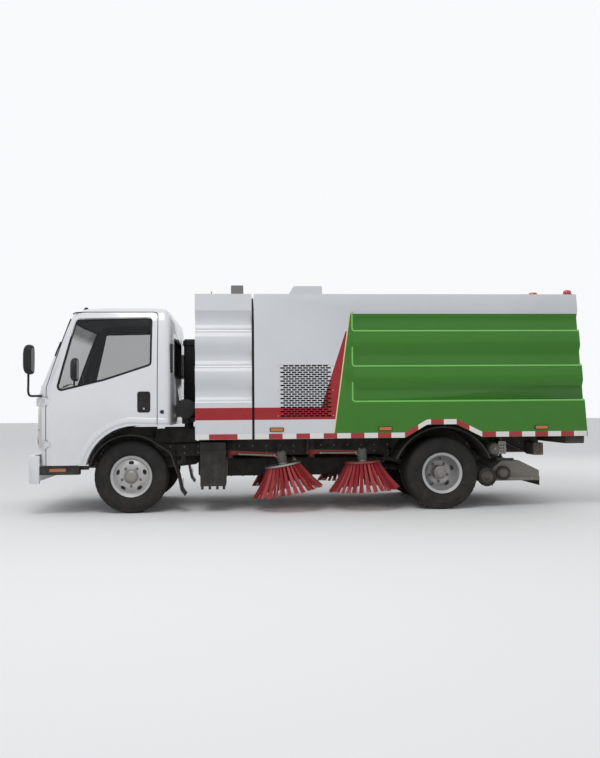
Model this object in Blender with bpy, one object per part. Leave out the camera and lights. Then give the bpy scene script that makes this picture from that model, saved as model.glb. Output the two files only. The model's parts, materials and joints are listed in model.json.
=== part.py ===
# Street sweeper truck: a light cab-over chassis with a corrugated tipping sweeper body.
# Metres, +X to the rear, +Y to the vehicle's right, +Z up. Every station below is measured
# from the front axle and the ground, and the last step moves the whole to its origin, on
# the ground under the middle of the vehicle.

import math

import bmesh
import bpy
from mathutils import Vector

# Whole vehicle
OVERALL_LENGTH = 5.995
FRONT_OVERHANG = 1.060
WHEELBASE = 3.360
SEAT_GAP = 0.0003
PIN_GAP = 0.0005
RUN_GAP = 0.008
OVERRUN = 0.050
MERGE = 0.00001
SIDES = (("left", -1), ("right", 1))

# Wheels
TYRE_RADIUS = 0.3925
TYRE_HALF_WIDTH = 0.100
TREAD_HALF_WIDTH = 0.076
# bulge of a tyre's wall: share of its half width, share of the wall's height
TYRE_WALL_SHARES = ((0.90, 0.14), (1, 0.48), (0.94, 0.86))
RIM_HALF_WIDTH = 0.080
RIM_LIP = 0.222
BEAD_RADIUS = 0.203
BARREL_INNER = 0.181
BEAD_HALF_WIDTH = 0.070
FRONT_WHEEL_Y = 0.752
REAR_WHEEL_Y = 0.7125
TWIN_HALF_SPACING = 0.120
SPINDLE_RADIUS = 0.030
REAR_SPINDLE_RADIUS = 0.040
FRONT_HUB_RADIUS = 0.080
FRONT_HUB_FACE = 0.060
FRONT_HUB_REACH = 0.108
CROWN_RADIUS = 0.128
CROWN_EDGE_RADIUS = 0.163
CROWN_EDGE_REACH = 0.0525
REAR_HUB_RADIUS = 0.070
REAR_HUB_FACE = 0.056
REAR_HUB_REACH = 0.150
REAR_DISC_RADIUS = 0.156
DISC_THICKNESS = 0.012
WHEEL_STEPS = 24
AXLE_STEPS = 16
ROUND_STEPS = 12

# Front axle and steering
KINGPIN_Y = 0.645
KINGPIN_RADIUS = 0.017
KINGPIN_BOSS = 0.034
BEAM_HALF_HEIGHT = 0.040
BEAM_HALF_DEPTH = 0.030
BEAM_SLIM_SHARE = 0.85
EAR_THICKNESS = 0.030
KNUCKLE_PLATE_IN = 0.690
KNUCKLE_PLATE_OUT = 0.716
STEER_ARM_LENGTH = 0.160
STEER_EYE_Y = 0.600
STEER_BOSS = 0.027
TIE_ROD_RADIUS = 0.014
TIE_EYE_RADIUS = 0.0224
TIE_EYE_HALF = 0.021

# Springs and rear axle
SPRING_Y = 0.345
SPRING_HALF_WIDTH = 0.030
SPRING_HALF_LENGTH = 0.560
SPRING_THICKNESS = 0.045
SPRING_SAG = 0.090
AXLE_TUBE_RADIUS = 0.055
DIFF_RADIUS = 0.155
DIFF_HALF_WIDTH = 0.130
DOME_SHARES = (-0.8, -0.4, 0, 0.4, 0.8)
DRUM_RADIUS = 0.160
DRUM_IN = 0.420
DRUM_OUT = 0.560

# Chassis frame
RAIL_FRONT = -0.900
RAIL_REAR = 4.630
RAIL_OUT = 0.375
RAIL_IN = 0.315
RAIL_BOTTOM = 0.580
RAIL_TOP = 0.720
RAIL_PLATE = 0.008
CROSS_HALF = 0.030
CROSS_LOW = 0.600
CROSS_HIGH = 0.700
CROSS_STATIONS = (-0.860, 0.800, 1.480, 2.700, 3.975, 4.440)
BUMPER_BRACKET_FRONT = -1.010

# Engine block and drive line
ENGINE_FRONT = -0.560
ENGINE_REAR = 0.160
ENGINE_HALF_WIDTH = 0.270
ENGINE_LOW = 0.450
ENGINE_HIGH = 0.900
ENGINE_MOUNT_X = -0.180
ENGINE_MOUNT_HALF = 0.040
SHAFT_RADIUS = 0.040
BELL_RADIUS = 0.1625
GEARBOX_RADIUS = 0.130
GEARBOX_TAIL_RADIUS = 0.091
SHAFT_COUPLING_RADIUS = 0.048
NOSE_RADIUS = 0.064
GEARBOX_REAR = 0.700
SHAFT_Z = 0.520

# Cab
CAB_HALF_WIDTH = 0.995
CAB_REAR = 0.430
CAB_BOTTOM = 0.530
CAB_WALL = 0.045
CAB_BOW = 0.022
ROOF_STEP_SHARE = 0.01
CAB_FRONT_RADIUS = 0.170
CAB_REAR_RADIUS = 0.060
ARCH_X = 0.060
ARCH_Z = 0.415
ARCH_RADIUS = 0.525
TUNNEL_HALF_WIDTH = 0.420
TUNNEL_FRONT = -0.945
NOTCH_REAR = -0.920
NOTCH_TOP = 0.690
# height, front face, how far in from the widest, rear face
CAB_SECTIONS = (
    (CAB_BOTTOM, -0.985, 0.010, CAB_REAR),
    (0.800, -0.996, 0.003, CAB_REAR),
    (1.100, -1.000, 0.0, CAB_REAR),
    (1.340, -0.972, 0.003, CAB_REAR),
    (1.600, -0.872, 0.019, CAB_REAR),
    (1.850, -0.775, 0.045, CAB_REAR),
    (2.060, -0.692, 0.080, CAB_REAR),
    (2.150, -0.640, 0.110, 0.415),
    (2.195, -0.560, 0.165, 0.370),
    (2.215, -0.440, 0.255, 0.280),
)
# Outlines in the side view: station, height
DOOR_OUTLINE = ((-0.860, 0.400), (-0.860, 1.345), (-0.622, 2.150), (0.290, 2.150), (0.290, 0.400))
WINDOW_OUTLINE = ((-0.757, 1.305), (-0.565, 2.075), (0.229, 2.090), (0.225, 1.585), (-0.260, 1.425))
# Half outlines in the front view: how far in from the cab's side, height
WINDSCREEN_HALF = ((0.225, 2.080), (0.145, 1.345))
REAR_WINDOW_HALF = ((0.515, 1.900), (0.515, 1.480))
LAMP_HALF = (
    (0.395, 0.760),
    (0.355, 0.960),
    (0.235, 1.150),
    (-0.105, 1.150),
    (-0.105, 0.710),
    (0.295, 0.710),
)
GRILLE_LOW = 0.800
GRILLE_HIGH = 0.900
LAMP_REAR = -0.930
LAMP_DEPTH = 0.030
CORNER = 0.040
GLASS_INSET = 0.012
GLASS_THICKNESS = 0.005
TILT_X = -0.950
TILT_Z = 0.655
TILT_LUG = 0.026
TILT_Y = 0.345
TILT_LUG_HALF = 0.020
TILT_EAR = 0.010
TILT_EYE = 0.022
TILT_PIN = 0.012
DOOR_HINGE_INSET = 0.010
DOOR_DEPTH = 0.195
DOOR_HINGE_Y = CAB_HALF_WIDTH - DOOR_HINGE_INSET
DOOR_INNER_Y = CAB_HALF_WIDTH - DOOR_DEPTH
HINGE_HEIGHTS = (0.750, 1.200)
HINGE_PIN = 0.006
HINGE_BARREL = 0.013
HINGE_HALF = 0.025
HINGE_END = 0.014
HINGE_LEAF = 0.045
HINGE_STEPS = 8

# Dashboard, steering wheel and seats
DASH_REAR = -0.640
DASH_LOW = 1.020
DASH_HIGH = 1.280
DASH_INSET = 0.115
DASH_HALF_WIDTH = CAB_HALF_WIDTH - DASH_INSET
STEERING_WHEEL_RADIUS = 0.200
STEERING_RIM_RADIUS = 0.014
STEERING_RIM_SIDES = 4
STEERING_X = -0.470
STEERING_Z = 1.300
STEERING_Y = 0.480
COLUMN_RADIUS = 0.030
SEAT_Y = (-0.480, 0.150, 0.600)
SEAT_HALF_WIDTH = 0.210
# side outline of a seat: station, height
SEAT_OUTLINE = (
    (-0.250, 1.080),
    (-0.250, 1.190),
    (0.150, 1.170),
    (0.230, 1.750),
    (0.320, 1.750),
    (0.320, 1.080),
)
SEAT_BASE_LOW = 0.986
SEAT_BASE_FRONT = -0.200
SEAT_BASE_REAR = 0.300

# Mirrors
MIRROR_FRONT = -1.060
MIRROR_REAR = -0.985
MIRROR_REACH = 0.195
MIRROR_WIDTH = 0.170
MIRROR_OUT = CAB_HALF_WIDTH + MIRROR_REACH
MIRROR_IN = MIRROR_OUT - MIRROR_WIDTH
MIRROR_LOW = 1.480
MIRROR_HIGH = 1.790
MIRROR_ARM_RADIUS = 0.012
MIRROR_TUBE_RADIUS = 0.0144
MIRROR_ARM_X = -1.000
MIRROR_FOOT_X = -0.905
MIRROR_FOOT_INSET = 0.095
MIRROR_FOOT_Y = CAB_HALF_WIDTH - MIRROR_FOOT_INSET
MIRROR_FOOT_Z = 1.260

# Bumper, mudguards and steps
BUMPER_LOW = 0.340
BUMPER_HIGH = 0.632
BUMPER_THICKNESS = 0.050
BUMPER_REAR = -0.930
BUMPER_INSET = 0.010
BUMPER_HALF_WIDTH = CAB_HALF_WIDTH - BUMPER_INSET
BUMPER_CORNER = 0.110
STEP_REAR = -0.520
STEP_LOW = 0.430
STEP_HIGH = 0.518
STEP_INSET = 0.023
STEP_WIDTH = 0.092
STEP_OUT = CAB_HALF_WIDTH - STEP_INSET
STEP_IN = STEP_OUT - STEP_WIDTH
GUARD_IN = 0.640
GUARD_INSET = 0.070
GUARD_OUT = CAB_HALF_WIDTH - GUARD_INSET
GUARD_RADIUS = 0.440
GUARD_THICKNESS = 0.012
GUARD_FRONT_ANGLE = 166
GUARD_REAR_ANGLE = 52
# tail of the front guard down to its flap: station, height
GUARD_TAIL = ((0.420, 0.640), (0.500, 0.400), (0.530, 0.250), (0.575, 0.185))
GUARD_BAR_LOW = 0.610
GUARD_BAR_HIGH = 0.640
REAR_GUARD_RADIUS = 0.548
REAR_GUARD_Z = 0.345
REAR_GUARD_IN = 0.500
REAR_GUARD_ANGLE = 22
REAR_GUARD_BAR_X = 0.485

# Tanks
BATTERY_FRONT = 0.740
BATTERY_REAR = 1.010
BATTERY_IN = 0.500
BATTERY_OUT = 0.920
BATTERY_LOW = 0.285
BATTERY_HIGH = 0.750
TANK_FRONT = 0.640
TANK_REAR = 1.010
TANK_IN = 0.440
TANK_OUT = 0.920
TANK_LOW = 0.290
TANK_HIGH = 0.720
TANK_CORNER = 0.060

# Sweeper body
BODY_HALF_WIDTH = 1.050
BODY_TOP = 2.330
BODY_BOTTOM = 0.785
HOUSING_FRONT = 0.695
HOUSING_REAR = 1.295
HOPPER_FRONT = 1.320
HOPPER_TAIL_TOP = 4.835
HOPPER_TAIL_BOTTOM = 4.935
HOPPER_FLOOR = 0.930
FLOOR_THICKNESS = 0.040
ROOF_THICKNESS = 0.040
WALL_THICKNESS = 0.075
SKIRT_THICKNESS = 0.030
BULKHEAD_FRONT = 2.330
BULKHEAD_REAR = 2.360
GROOVE_DEPTH = 0.045
GROOVE_PITCH = 0.378
GROOVE_FRONT = 2.370
GROOVE_END_SLOPE = 0.060
GROOVE_COUNT = 3
# one groove in the side: depth share, height above the lowest groove's foot
GROOVE_SHAPE = ((0, 0.217), (1, 0.145), (1, 0.018), (0, 0.0))
GROOVE_FOOT = 1.180
ARCH_CUT_FRONT = 2.930
ARCH_CUT_REAR = 3.770
ARCH_FLAT_FRONT = 3.170
ARCH_FLAT_REAR = 3.490
ARCH_CUT_TOP = 0.925
SILL_FRONT = 4.705
SILL_LOW = 0.705
SILL_INSET = 0.050
SILL_HALF_WIDTH = BODY_HALF_WIDTH - SILL_INSET
REAR_GUARD_INSET = 0.065
REAR_GUARD_OUT = BODY_HALF_WIDTH - REAR_GUARD_INSET
RUNNER_FRONT = 1.420
PIVOT_X = 4.580
PIVOT_Z = 0.745
PIVOT_PIN = 0.020
PIVOT_LUG = 0.038
PIVOT_HEAD = 0.032
PIVOT_SHOULDER = 0.022
PIVOT_LUG_IN = 0.255
PIVOT_LUG_OUT = 0.295
TAILGATE_THICKNESS = 0.050
TAILGATE_HINGE_DROP = 0.045
TRUNNION_RADIUS = 0.012
TRUNNION_REACH = 0.020
TAILGATE_TOP_GAP = 0.014
COWL_FRONT = 1.670
COWL_REAR = 2.120
COWL_HALF_WIDTH = 0.300
COWL_RISE = 0.200
COWL_SLOPE = 0.120
VENT_FRONT = 1.060
VENT_REAR = 1.205
VENT_HALF_WIDTH = 0.075
VENT_RISE = 0.240
BEACON_X = 4.740
BEACON_RADIUS = 0.070
BEACON_RISE = 0.170
# outline of the beacon: share of its rise, share of its radius
BEACON_SHARES = ((0, 0), (0, 1), (0.3, 1), (0.35, 0.85), (0.85, 0.75), (1, 0.4), (1, 0))
GRILLE_FRONT = 1.590
GRILLE_REAR = 2.140
GRILLE_BOTTOM = 1.016
GRILLE_TOP = 1.574

# Tipping cylinder
BARREL_FOOT_X = 3.900
BARREL_START = 0.060
BARREL_FOOT_Z = 0.640
ROD_EYE_X = 3.080
ROD_EYE_Z = 0.820
BARREL_RADIUS = 0.045
BARREL_LENGTH = 0.720
BARREL_SHANK = 0.034
ROD_RADIUS = 0.025
ROD_IN_BARREL = 0.600
EYE_RADIUS = 0.036
EYE_HALF_WIDTH = 0.030
EAR_CLEARANCE = 0.008
ROD_EAR = 0.016
ROD_EAR_OUT = EYE_HALF_WIDTH + EAR_CLEARANCE + ROD_EAR

# Brushes and their arms. Each place is a brush station, a pin station and a plate height.
BRUSH_NAMES = ("front", "rear")
BRUSH_PLACES = ((1.632, 1.052, 0.500), (2.512, 1.952, 0.520))
BRUSH_TILTS = (10, 3)
BRUSH_Y = 0.720
ARM_PIN_Y = 0.660
ARM_PIN_Z = 0.630
PIN_LEAN = 35
ARM_PIN_RADIUS = 0.015
ARM_BOSS_RADIUS = 0.034
ARM_BOSS_HALF = 0.042
ARM_EAR = 0.016
ARM_EAR_HALF_WIDTH = 0.034
ARM_EAR_REACH = 0.180
EAR_ROOM_RADIUS = 0.058
ARM_WIDTH = 0.050
ARM_HEIGHT = 0.045
WEB_HALF_WIDTH = 0.034
WEB_OUT = 0.520
WEB_LOW = 0.590
WEB_HIGH = 0.760
WEB_IN = 0.400
MOTOR_RADIUS = 0.052
MOTOR_HEIGHT = 0.110
MOTOR_GRIP = 0.077
HUB_HEIGHT = 0.022
PLATE_RADIUS = 0.200
PLATE_THICKNESS = 0.014
PLATE_STEPS = 20
BUNCH_COUNT = 24
BUNCH_ROOT_RADIUS = 0.172
BUNCH_TIP_RADIUS = 0.385
BUNCH_LENGTH = 0.310
BUNCH_ROOT_HALF = 0.014
BUNCH_TIP_HALF = 0.022
BUNCH_HALF_DEPTH = 0.013

# Suction nozzle, its wheels and duct
NOZZLE_HALF_WIDTH = 0.790
NOZZLE_WALL = 0.012
# side outline of the nozzle's hood: station, height
NOZZLE_OUTLINE = (
    (3.960, 0.290),
    (3.960, 0.430),
    (4.060, 0.510),
    (4.260, 0.510),
    (4.480, 0.400),
    (4.480, 0.290),
)
DUCT_X = 4.160
DUCT_RADIUS = 0.125
DUCT_WALL = 0.006
DUCT_LOW = 0.560
COLLAR_RADIUS = 0.112
COLLAR_TOP = 0.880
FLANGE_FRONT = 3.980
FLANGE_REAR = 4.340
FLANGE_THICKNESS = 0.014
GUIDE_Y = 0.430
GUIDE_RADIUS = 0.016
GUIDE_HALF = 0.035
GUIDE_TOP = 0.850
NOZZLE_WHEEL_NAMES = ("fore", "aft")
# nozzle wheels: station, height, radius
NOZZLE_WHEELS = ((3.875, 0.340, 0.105), (4.060, 0.380, 0.078))
NOZZLE_WHEEL_IN = 0.812
NOZZLE_WHEEL_OUT = 0.862
NOZZLE_AXLE = 0.012
WHEEL_DISC_SHARE = 0.6
WHEEL_HUB_SHARE = 0.25

# Sub-frame between the rails and the body
SUB_FRONT = 0.700

# slot: colour, roughness, metallic
FINISHES = {
    "white_paint": ((0.80, 0.81, 0.82), 0.35, 0.0),
    "green_paint": ((0.05, 0.20, 0.02), 0.35, 0.0),
    "red_paint": ((0.33, 0.02, 0.02), 0.45, 0.0),
    "frame_black": ((0.02, 0.02, 0.02), 0.60, 0.2),
    "plastic_black": ((0.02, 0.02, 0.02), 0.50, 0.0),
    "tyre_rubber": ((0.02, 0.02, 0.02), 0.85, 0.0),
    "silver_paint": ((0.45, 0.45, 0.45), 0.35, 0.6),
    "glass": ((0.10, 0.12, 0.12), 0.05, 0.0),
    "lamp_lens": ((0.60, 0.60, 0.60), 0.10, 0.0),
    "interior_grey": ((0.10, 0.10, 0.11), 0.80, 0.0),
    "bristle_red": ((0.45, 0.04, 0.06), 0.60, 0.0),
    "steel_grey": ((0.25, 0.24, 0.22), 0.55, 0.7),
    "beacon_red": ((0.55, 0.02, 0.02), 0.20, 0.0),
}


def clear_scene():
    for item in list(bpy.data.objects):
        bpy.data.objects.remove(item, do_unlink=True)


def solid(name, corners, faces):
    """A closed body from its corners and faces, with its faces pointing out."""
    mesh = bpy.data.meshes.new(name)
    mesh.from_pydata([tuple(corner) for corner in corners], [], faces)
    work = bmesh.new()
    work.from_mesh(mesh)
    bmesh.ops.remove_doubles(work, verts=work.verts, dist=MERGE)
    bmesh.ops.recalc_face_normals(work, faces=work.faces)
    work.to_mesh(mesh)
    work.free()
    piece = bpy.data.objects.new(name, mesh)
    bpy.context.scene.collection.objects.link(piece)
    return piece


def prism(name, outline, low, high, along="Y"):
    """An outline in the other two axes, in X, Y, Z order, drawn out along one axis."""
    places = {
        "X": lambda a, b, c: (c, a, b),
        "Y": lambda a, b, c: (a, c, b),
        "Z": lambda a, b, c: (a, b, c),
    }
    count = len(outline)
    corners = [places[along](a, b, c) for c in (low, high) for a, b in outline]
    faces = [tuple(range(count)), tuple(range(count, 2 * count))]
    for i in range(count):
        after = (i + 1) % count
        faces.append((i, after, after + count, i + count))
    return solid(name, corners, faces)


def block(name, low, high):
    outline = ((low[0], low[1]), (high[0], low[1]), (high[0], high[1]), (low[0], high[1]))
    return prism(name, outline, low[2], high[2], "Z")


def blocks_both_sides(name, low, high, side):
    """A block given for the right side, placed on the side asked for."""
    a, b = sorted((side * low[1], side * high[1]))
    return block(name, (low[0], a, low[2]), (high[0], b, high[2]))


def turned(name, profile, centre, axis=(0, 1, 0), steps=WHEEL_STEPS):
    """Turns (along, radius) points about an axis. A zero radius is a point on the axis."""
    axis = Vector(axis).normalized()
    up = Vector((0, 0, 1)) if abs(axis.z) < abs(axis.y) + abs(axis.x) else Vector((1, 0, 0))
    side = axis.cross(up).normalized()
    third = axis.cross(side)
    corners = []
    rings = []
    for along, radius in profile:
        middle = Vector(centre) + axis * along
        if radius == 0:
            rings.append([len(corners)] * steps)
            corners.append(middle)
            continue
        rings.append(list(range(len(corners), len(corners) + steps)))
        for i in range(steps):
            turn = 2 * math.pi * (i + 0.5) / steps
            corners.append(middle + radius * (math.cos(turn) * side + math.sin(turn) * third))
    faces = []
    ends_on_axis = profile[0][1] == 0 or profile[-1][1] == 0
    pairs = list(zip(rings, rings[1:]))
    if not ends_on_axis:
        pairs.append((rings[-1], rings[0]))
    for one, two in pairs:
        for i in range(steps):
            after = (i + 1) % steps
            face = []
            for corner in (one[i], one[after], two[after], two[i]):
                if corner not in face:
                    face.append(corner)
            if len(face) > 2:
                faces.append(tuple(face))
    return solid(name, corners, faces)


def cylinder(name, start, end, radius, steps=ROUND_STEPS):
    run = Vector(end) - Vector(start)
    return turned(name, ((0, 0), (0, radius), (run.length, radius), (run.length, 0)), start, run, steps)


def bore_radius(radius, steps=ROUND_STEPS):
    """The radius of a faceted bore whose flats clear a pin's corners when it turns."""
    return (radius + PIN_GAP) / math.cos(math.pi / steps)


def bar(name, start, end, width, height):
    """A straight bar of rectangular section, its width kept level."""
    run = (Vector(end) - Vector(start)).normalized()
    level = run.cross(Vector((0, 0, 1))).normalized()
    up = level.cross(run)
    corners = []
    for point in (start, end):
        for a, b in ((-1, -1), (1, -1), (1, 1), (-1, 1)):
            corners.append(Vector(point) + a * level * width / 2 + b * up * height / 2)
    faces = [(0, 1, 2, 3), (4, 5, 6, 7), (0, 1, 5, 4), (1, 2, 6, 5), (2, 3, 7, 6), (3, 0, 4, 7)]
    return solid(name, corners, faces)


def loft(name, rings):
    count = len(rings[0])
    corners = [corner for ring in rings for corner in ring]
    faces = [tuple(range(count)), tuple(range(len(corners) - count, len(corners)))]
    for level in range(len(rings) - 1):
        for i in range(count):
            after = (i + 1) % count
            low = level * count
            faces.append((low + i, low + after, low + after + count, low + i + count))
    return solid(name, corners, faces)


def combine(piece, other, operation):
    """Joins, cuts or intersects one closed body with another, which is used up."""
    step = piece.modifiers.new("combine", "BOOLEAN")
    step.operation = operation
    step.solver = "EXACT"
    step.object = other
    bpy.context.view_layer.update()
    seen = piece.evaluated_get(bpy.context.evaluated_depsgraph_get())
    mesh = bpy.data.meshes.new_from_object(seen)
    mesh.name = piece.name
    piece.modifiers.clear()
    piece.data = mesh
    bpy.data.objects.remove(other, do_unlink=True)
    return piece


def join(piece, *others):
    for other in others:
        combine(piece, other, "UNION")
    return piece


def cut(piece, *others):
    for other in others:
        combine(piece, other, "DIFFERENCE")
    return piece


def keep(piece, other):
    return combine(piece, other, "INTERSECT")


def mirrored(outline):
    return tuple((-a, b) for a, b in outline)


def both_halves(half):
    """A front-view outline from its right half, given as insets from the cab's side."""
    right = [(CAB_HALF_WIDTH - inset, height) for inset, height in half]
    return right + [(-a, b) for a, b in right[::-1]]


def grown(outline, distance):
    """An outline with each edge moved out by a distance. Negative moves it in."""
    count = len(outline)
    area = sum(
        outline[i][0] * outline[(i + 1) % count][1] - outline[(i + 1) % count][0] * outline[i][1]
        for i in range(count)
    )
    turn = 1 if area > 0 else -1
    result = []
    for i in range(count):
        here = Vector(outline[i])
        before = (here - Vector(outline[i - 1])).normalized()
        after = (Vector(outline[(i + 1) % count]) - here).normalized()
        out_before = Vector((before.y, -before.x)) * turn
        out_after = Vector((after.y, -after.x)) * turn
        middle = out_before + out_after
        result.append(tuple(here + middle * (distance * 2 / middle.length_squared)))
    return result


def rounded(outline, radius, steps=3):
    """An outline with its corners rounded, each by an arc of the given radius."""
    result = []
    count = len(outline)
    for i in range(count):
        here = Vector(outline[i])
        to_before = (Vector(outline[i - 1]) - here).normalized()
        to_after = (Vector(outline[(i + 1) % count]) - here).normalized()
        half = to_before.angle(to_after) / 2
        middle = here + (to_before + to_after).normalized() * (radius / math.sin(half))
        start = here + to_before * (radius / math.tan(half)) - middle
        sweep = start.angle_signed(here + to_after * (radius / math.tan(half)) - middle)
        for k in range(steps + 1):
            turn = -sweep * k / steps
            arm = Vector((
                start.x * math.cos(turn) - start.y * math.sin(turn),
                start.x * math.sin(turn) + start.y * math.cos(turn),
            ))
            result.append(tuple(middle + arm))
    return result


def arc(centre, radius, first, last, steps):
    """Points along an arc, angles in degrees from the first axis."""
    points = []
    for i in range(steps + 1):
        turn = math.radians(first + (last - first) * i / steps)
        points.append((centre[0] + radius * math.cos(turn), centre[1] + radius * math.sin(turn)))
    return points


def band(points, thickness):
    """A closed outline that follows an open line on its left side with a thickness."""
    outer = []
    for i, point in enumerate(points):
        here = Vector(point)
        before = (here - Vector(points[i - 1])).normalized() if i else None
        after = (Vector(points[i + 1]) - here).normalized() if i < len(points) - 1 else None
        normals = [Vector((-run.y, run.x)) for run in (before, after) if run]
        middle = sum(normals, Vector((0, 0)))
        outer.append(tuple(here + middle * (thickness * len(normals) / middle.length_squared)))
    return list(points) + outer[::-1]


def plan_ring(height, front, rear, half, front_radius, rear_radius):
    """One level section of the cab: a bowed front and four rounded corners."""
    ring = []
    flat = half - front_radius
    for i in range(7):
        side = -flat + 2 * flat * i / 6
        ring.append((front + CAB_BOW * (side / flat) ** 2, side, height))
    corners = (
        (front + CAB_BOW + front_radius, flat, front_radius, 180, 90, 5),
        (rear - rear_radius, half - rear_radius, rear_radius, 90, 0, 3),
        (rear - rear_radius, rear_radius - half, rear_radius, 0, -90, 3),
        (front + CAB_BOW + front_radius, -flat, front_radius, -90, -180, 5),
    )
    for x, y, radius, first, last, steps in corners:
        points = arc((x, y), radius, first, last, steps)
        if first == 180:
            points = points[1:]
        if last == -180:
            points = points[:-1]
        ring.extend((a, b, height) for a, b in points)
    return ring


def cab_hull(name, inset, foot=None):
    """The cab's outer form, or the same form set in by a wall, with its foot at another depth."""
    rings = []
    floor = CAB_BOTTOM + (inset if foot is None else foot)
    roof = CAB_SECTIONS[-1][0] - inset
    for height, front, taper, rear in CAB_SECTIONS:
        level = min(max(height, floor), roof - (CAB_SECTIONS[-1][0] - height) * ROOF_STEP_SHARE)
        ring = plan_ring(
            floor if height == CAB_BOTTOM else level,
            front + inset,
            rear - inset,
            CAB_HALF_WIDTH - taper - inset,
            CAB_FRONT_RADIUS - inset,
            max(CAB_REAR_RADIUS - inset, CAB_WALL / 4),
        )
        rings.append(ring)
    return loft(name, rings)


def underfloor(name, extra):
    """What the wheel arches take out of the cab's underside, grown by a wall."""
    rim = arc((ARCH_X, ARCH_Z), ARCH_RADIUS + extra, 180, 90, 10)
    rear = CAB_REAR + OVERRUN
    low = ARCH_Z - OVERRUN
    outline = rim + [(rear, ARCH_Z + ARCH_RADIUS + extra), (rear, low), (rim[0][0], low)]
    return prism(name, outline, -CAB_HALF_WIDTH - OVERRUN, CAB_HALF_WIDTH + OVERRUN, "Y")


def tunnel(name, extra):
    front = TUNNEL_FRONT if extra == 0 else RAIL_FRONT - FRONT_OVERHANG
    half = TUNNEL_HALF_WIDTH + extra
    low = ARCH_Z - OVERRUN
    return block(name, (front, -half, low), (CAB_REAR + OVERRUN, half, ARCH_Z + ARCH_RADIUS + extra))


def front_notch(name, extra):
    half = CAB_HALF_WIDTH + OVERRUN
    low = (-FRONT_OVERHANG - OVERRUN, -half, ARCH_Z)
    return block(name, low, (NOTCH_REAR + extra, half, NOTCH_TOP + extra))


def door_prism(name, side, extra, outline=DOOR_OUTLINE, radius=CORNER):
    shape = rounded(grown(outline, extra), radius)
    low, high = sorted((side * (DOOR_INNER_Y - extra), side * (CAB_HALF_WIDTH + OVERRUN)))
    return prism(name, shape, low, high, "Y")


def cab_shell():
    room = cab_hull("room", CAB_WALL)
    cut(room, underfloor("floor", CAB_WALL), tunnel("floor", CAB_WALL), front_notch("floor", CAB_WALL))
    shell = cab_hull("cab_shell", 0)
    cut(shell, room, underfloor("arch", 0), tunnel("tunnel", 0), front_notch("notch", 0))
    for name, side in SIDES:
        opening = door_prism("opening", side, RUN_GAP)
        cut(opening, cab_hull("core", CAB_WALL + RUN_GAP, -OVERRUN))
        cut(shell, opening)
        for height in HINGE_HEIGHTS:
            cut(shell, hinge_room(side, height, HINGE_BARREL + RUN_GAP / 2))
            join(shell, hinge_pin(side, height))
    front = rounded(both_halves(WINDSCREEN_HALF), CORNER)
    cut(shell, prism("screen", front, -FRONT_OVERHANG - OVERRUN, LAMP_REAR / 2, "X"))
    back = rounded(both_halves(REAR_WINDOW_HALF), CORNER)
    cut(shell, prism("back", back, 0, CAB_REAR + OVERRUN, "X"))
    recess = lamp_bar_form("recess", SEAT_GAP)
    cut(recess, cab_hull("core", LAMP_DEPTH + SEAT_GAP))
    cut(shell, recess)
    for name, side in SIDES:
        join(shell, tilt_eye(side))
    return shell


def lamp_bar_form(name, extra):
    """Both corner lamps and the grille bar that joins them, as one block through the front."""
    front = -FRONT_OVERHANG - OVERRUN
    rear = LAMP_REAR + extra
    outline = [(CAB_HALF_WIDTH - inset, height) for inset, height in LAMP_HALF]
    half = outline[0][0] + CORNER
    form = block(name, (front, -half, GRILLE_LOW - extra), (rear, half, GRILLE_HIGH + extra))
    right = grown(outline, extra)
    join(form, prism("lamp", right, front, rear, "X"), prism("lamp", mirrored(right), front, rear, "X"))
    return form


def lamp_bar():
    bar_piece = cab_hull("lamp_bar", 0)
    keep(bar_piece, lamp_bar_form("form", 0))
    cut(bar_piece, cab_hull("core", LAMP_DEPTH))
    return bar_piece


def cab_pane(name, cutter):
    pane = cab_hull(name, GLASS_INSET)
    keep(pane, cutter)
    cut(pane, cab_hull("core", GLASS_INSET + GLASS_THICKNESS))
    return pane


def windscreen():
    outline = grown(rounded(both_halves(WINDSCREEN_HALF), CORNER), -SEAT_GAP)
    return cab_pane("windscreen", prism("form", outline, -FRONT_OVERHANG - OVERRUN, LAMP_REAR / 2, "X"))


def rear_window():
    outline = grown(rounded(both_halves(REAR_WINDOW_HALF), CORNER), -SEAT_GAP)
    return cab_pane("rear_window", prism("form", outline, 0, CAB_REAR + OVERRUN, "X"))


def hinge_pin(side, height):
    """A door hinge's fixed half: a pin between two ends, each held to the pillar by a web."""
    near = HINGE_HALF + PIN_GAP
    far = near + HINGE_END
    profile = (
        (-far, 0),
        (-far, HINGE_BARREL),
        (-near, HINGE_BARREL),
        (-near, HINGE_PIN),
        (near, HINGE_PIN),
        (near, HINGE_BARREL),
        (far, HINGE_BARREL),
        (far, 0),
    )
    centre = (DOOR_OUTLINE[0][0], side * DOOR_HINGE_Y, height)
    pin = turned("pin", profile, centre, (0, 0, 1), HINGE_STEPS)
    for low, high in ((height - far, height - near), (height + near, height + far)):
        join(pin, blocks_both_sides(
            "web",
            (centre[0] - HINGE_LEAF, DOOR_HINGE_Y - HINGE_LEAF, low + PIN_GAP),
            (centre[0] - RUN_GAP / 2, DOOR_HINGE_Y, high - PIN_GAP),
            side,
        ))
    return pin


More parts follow.
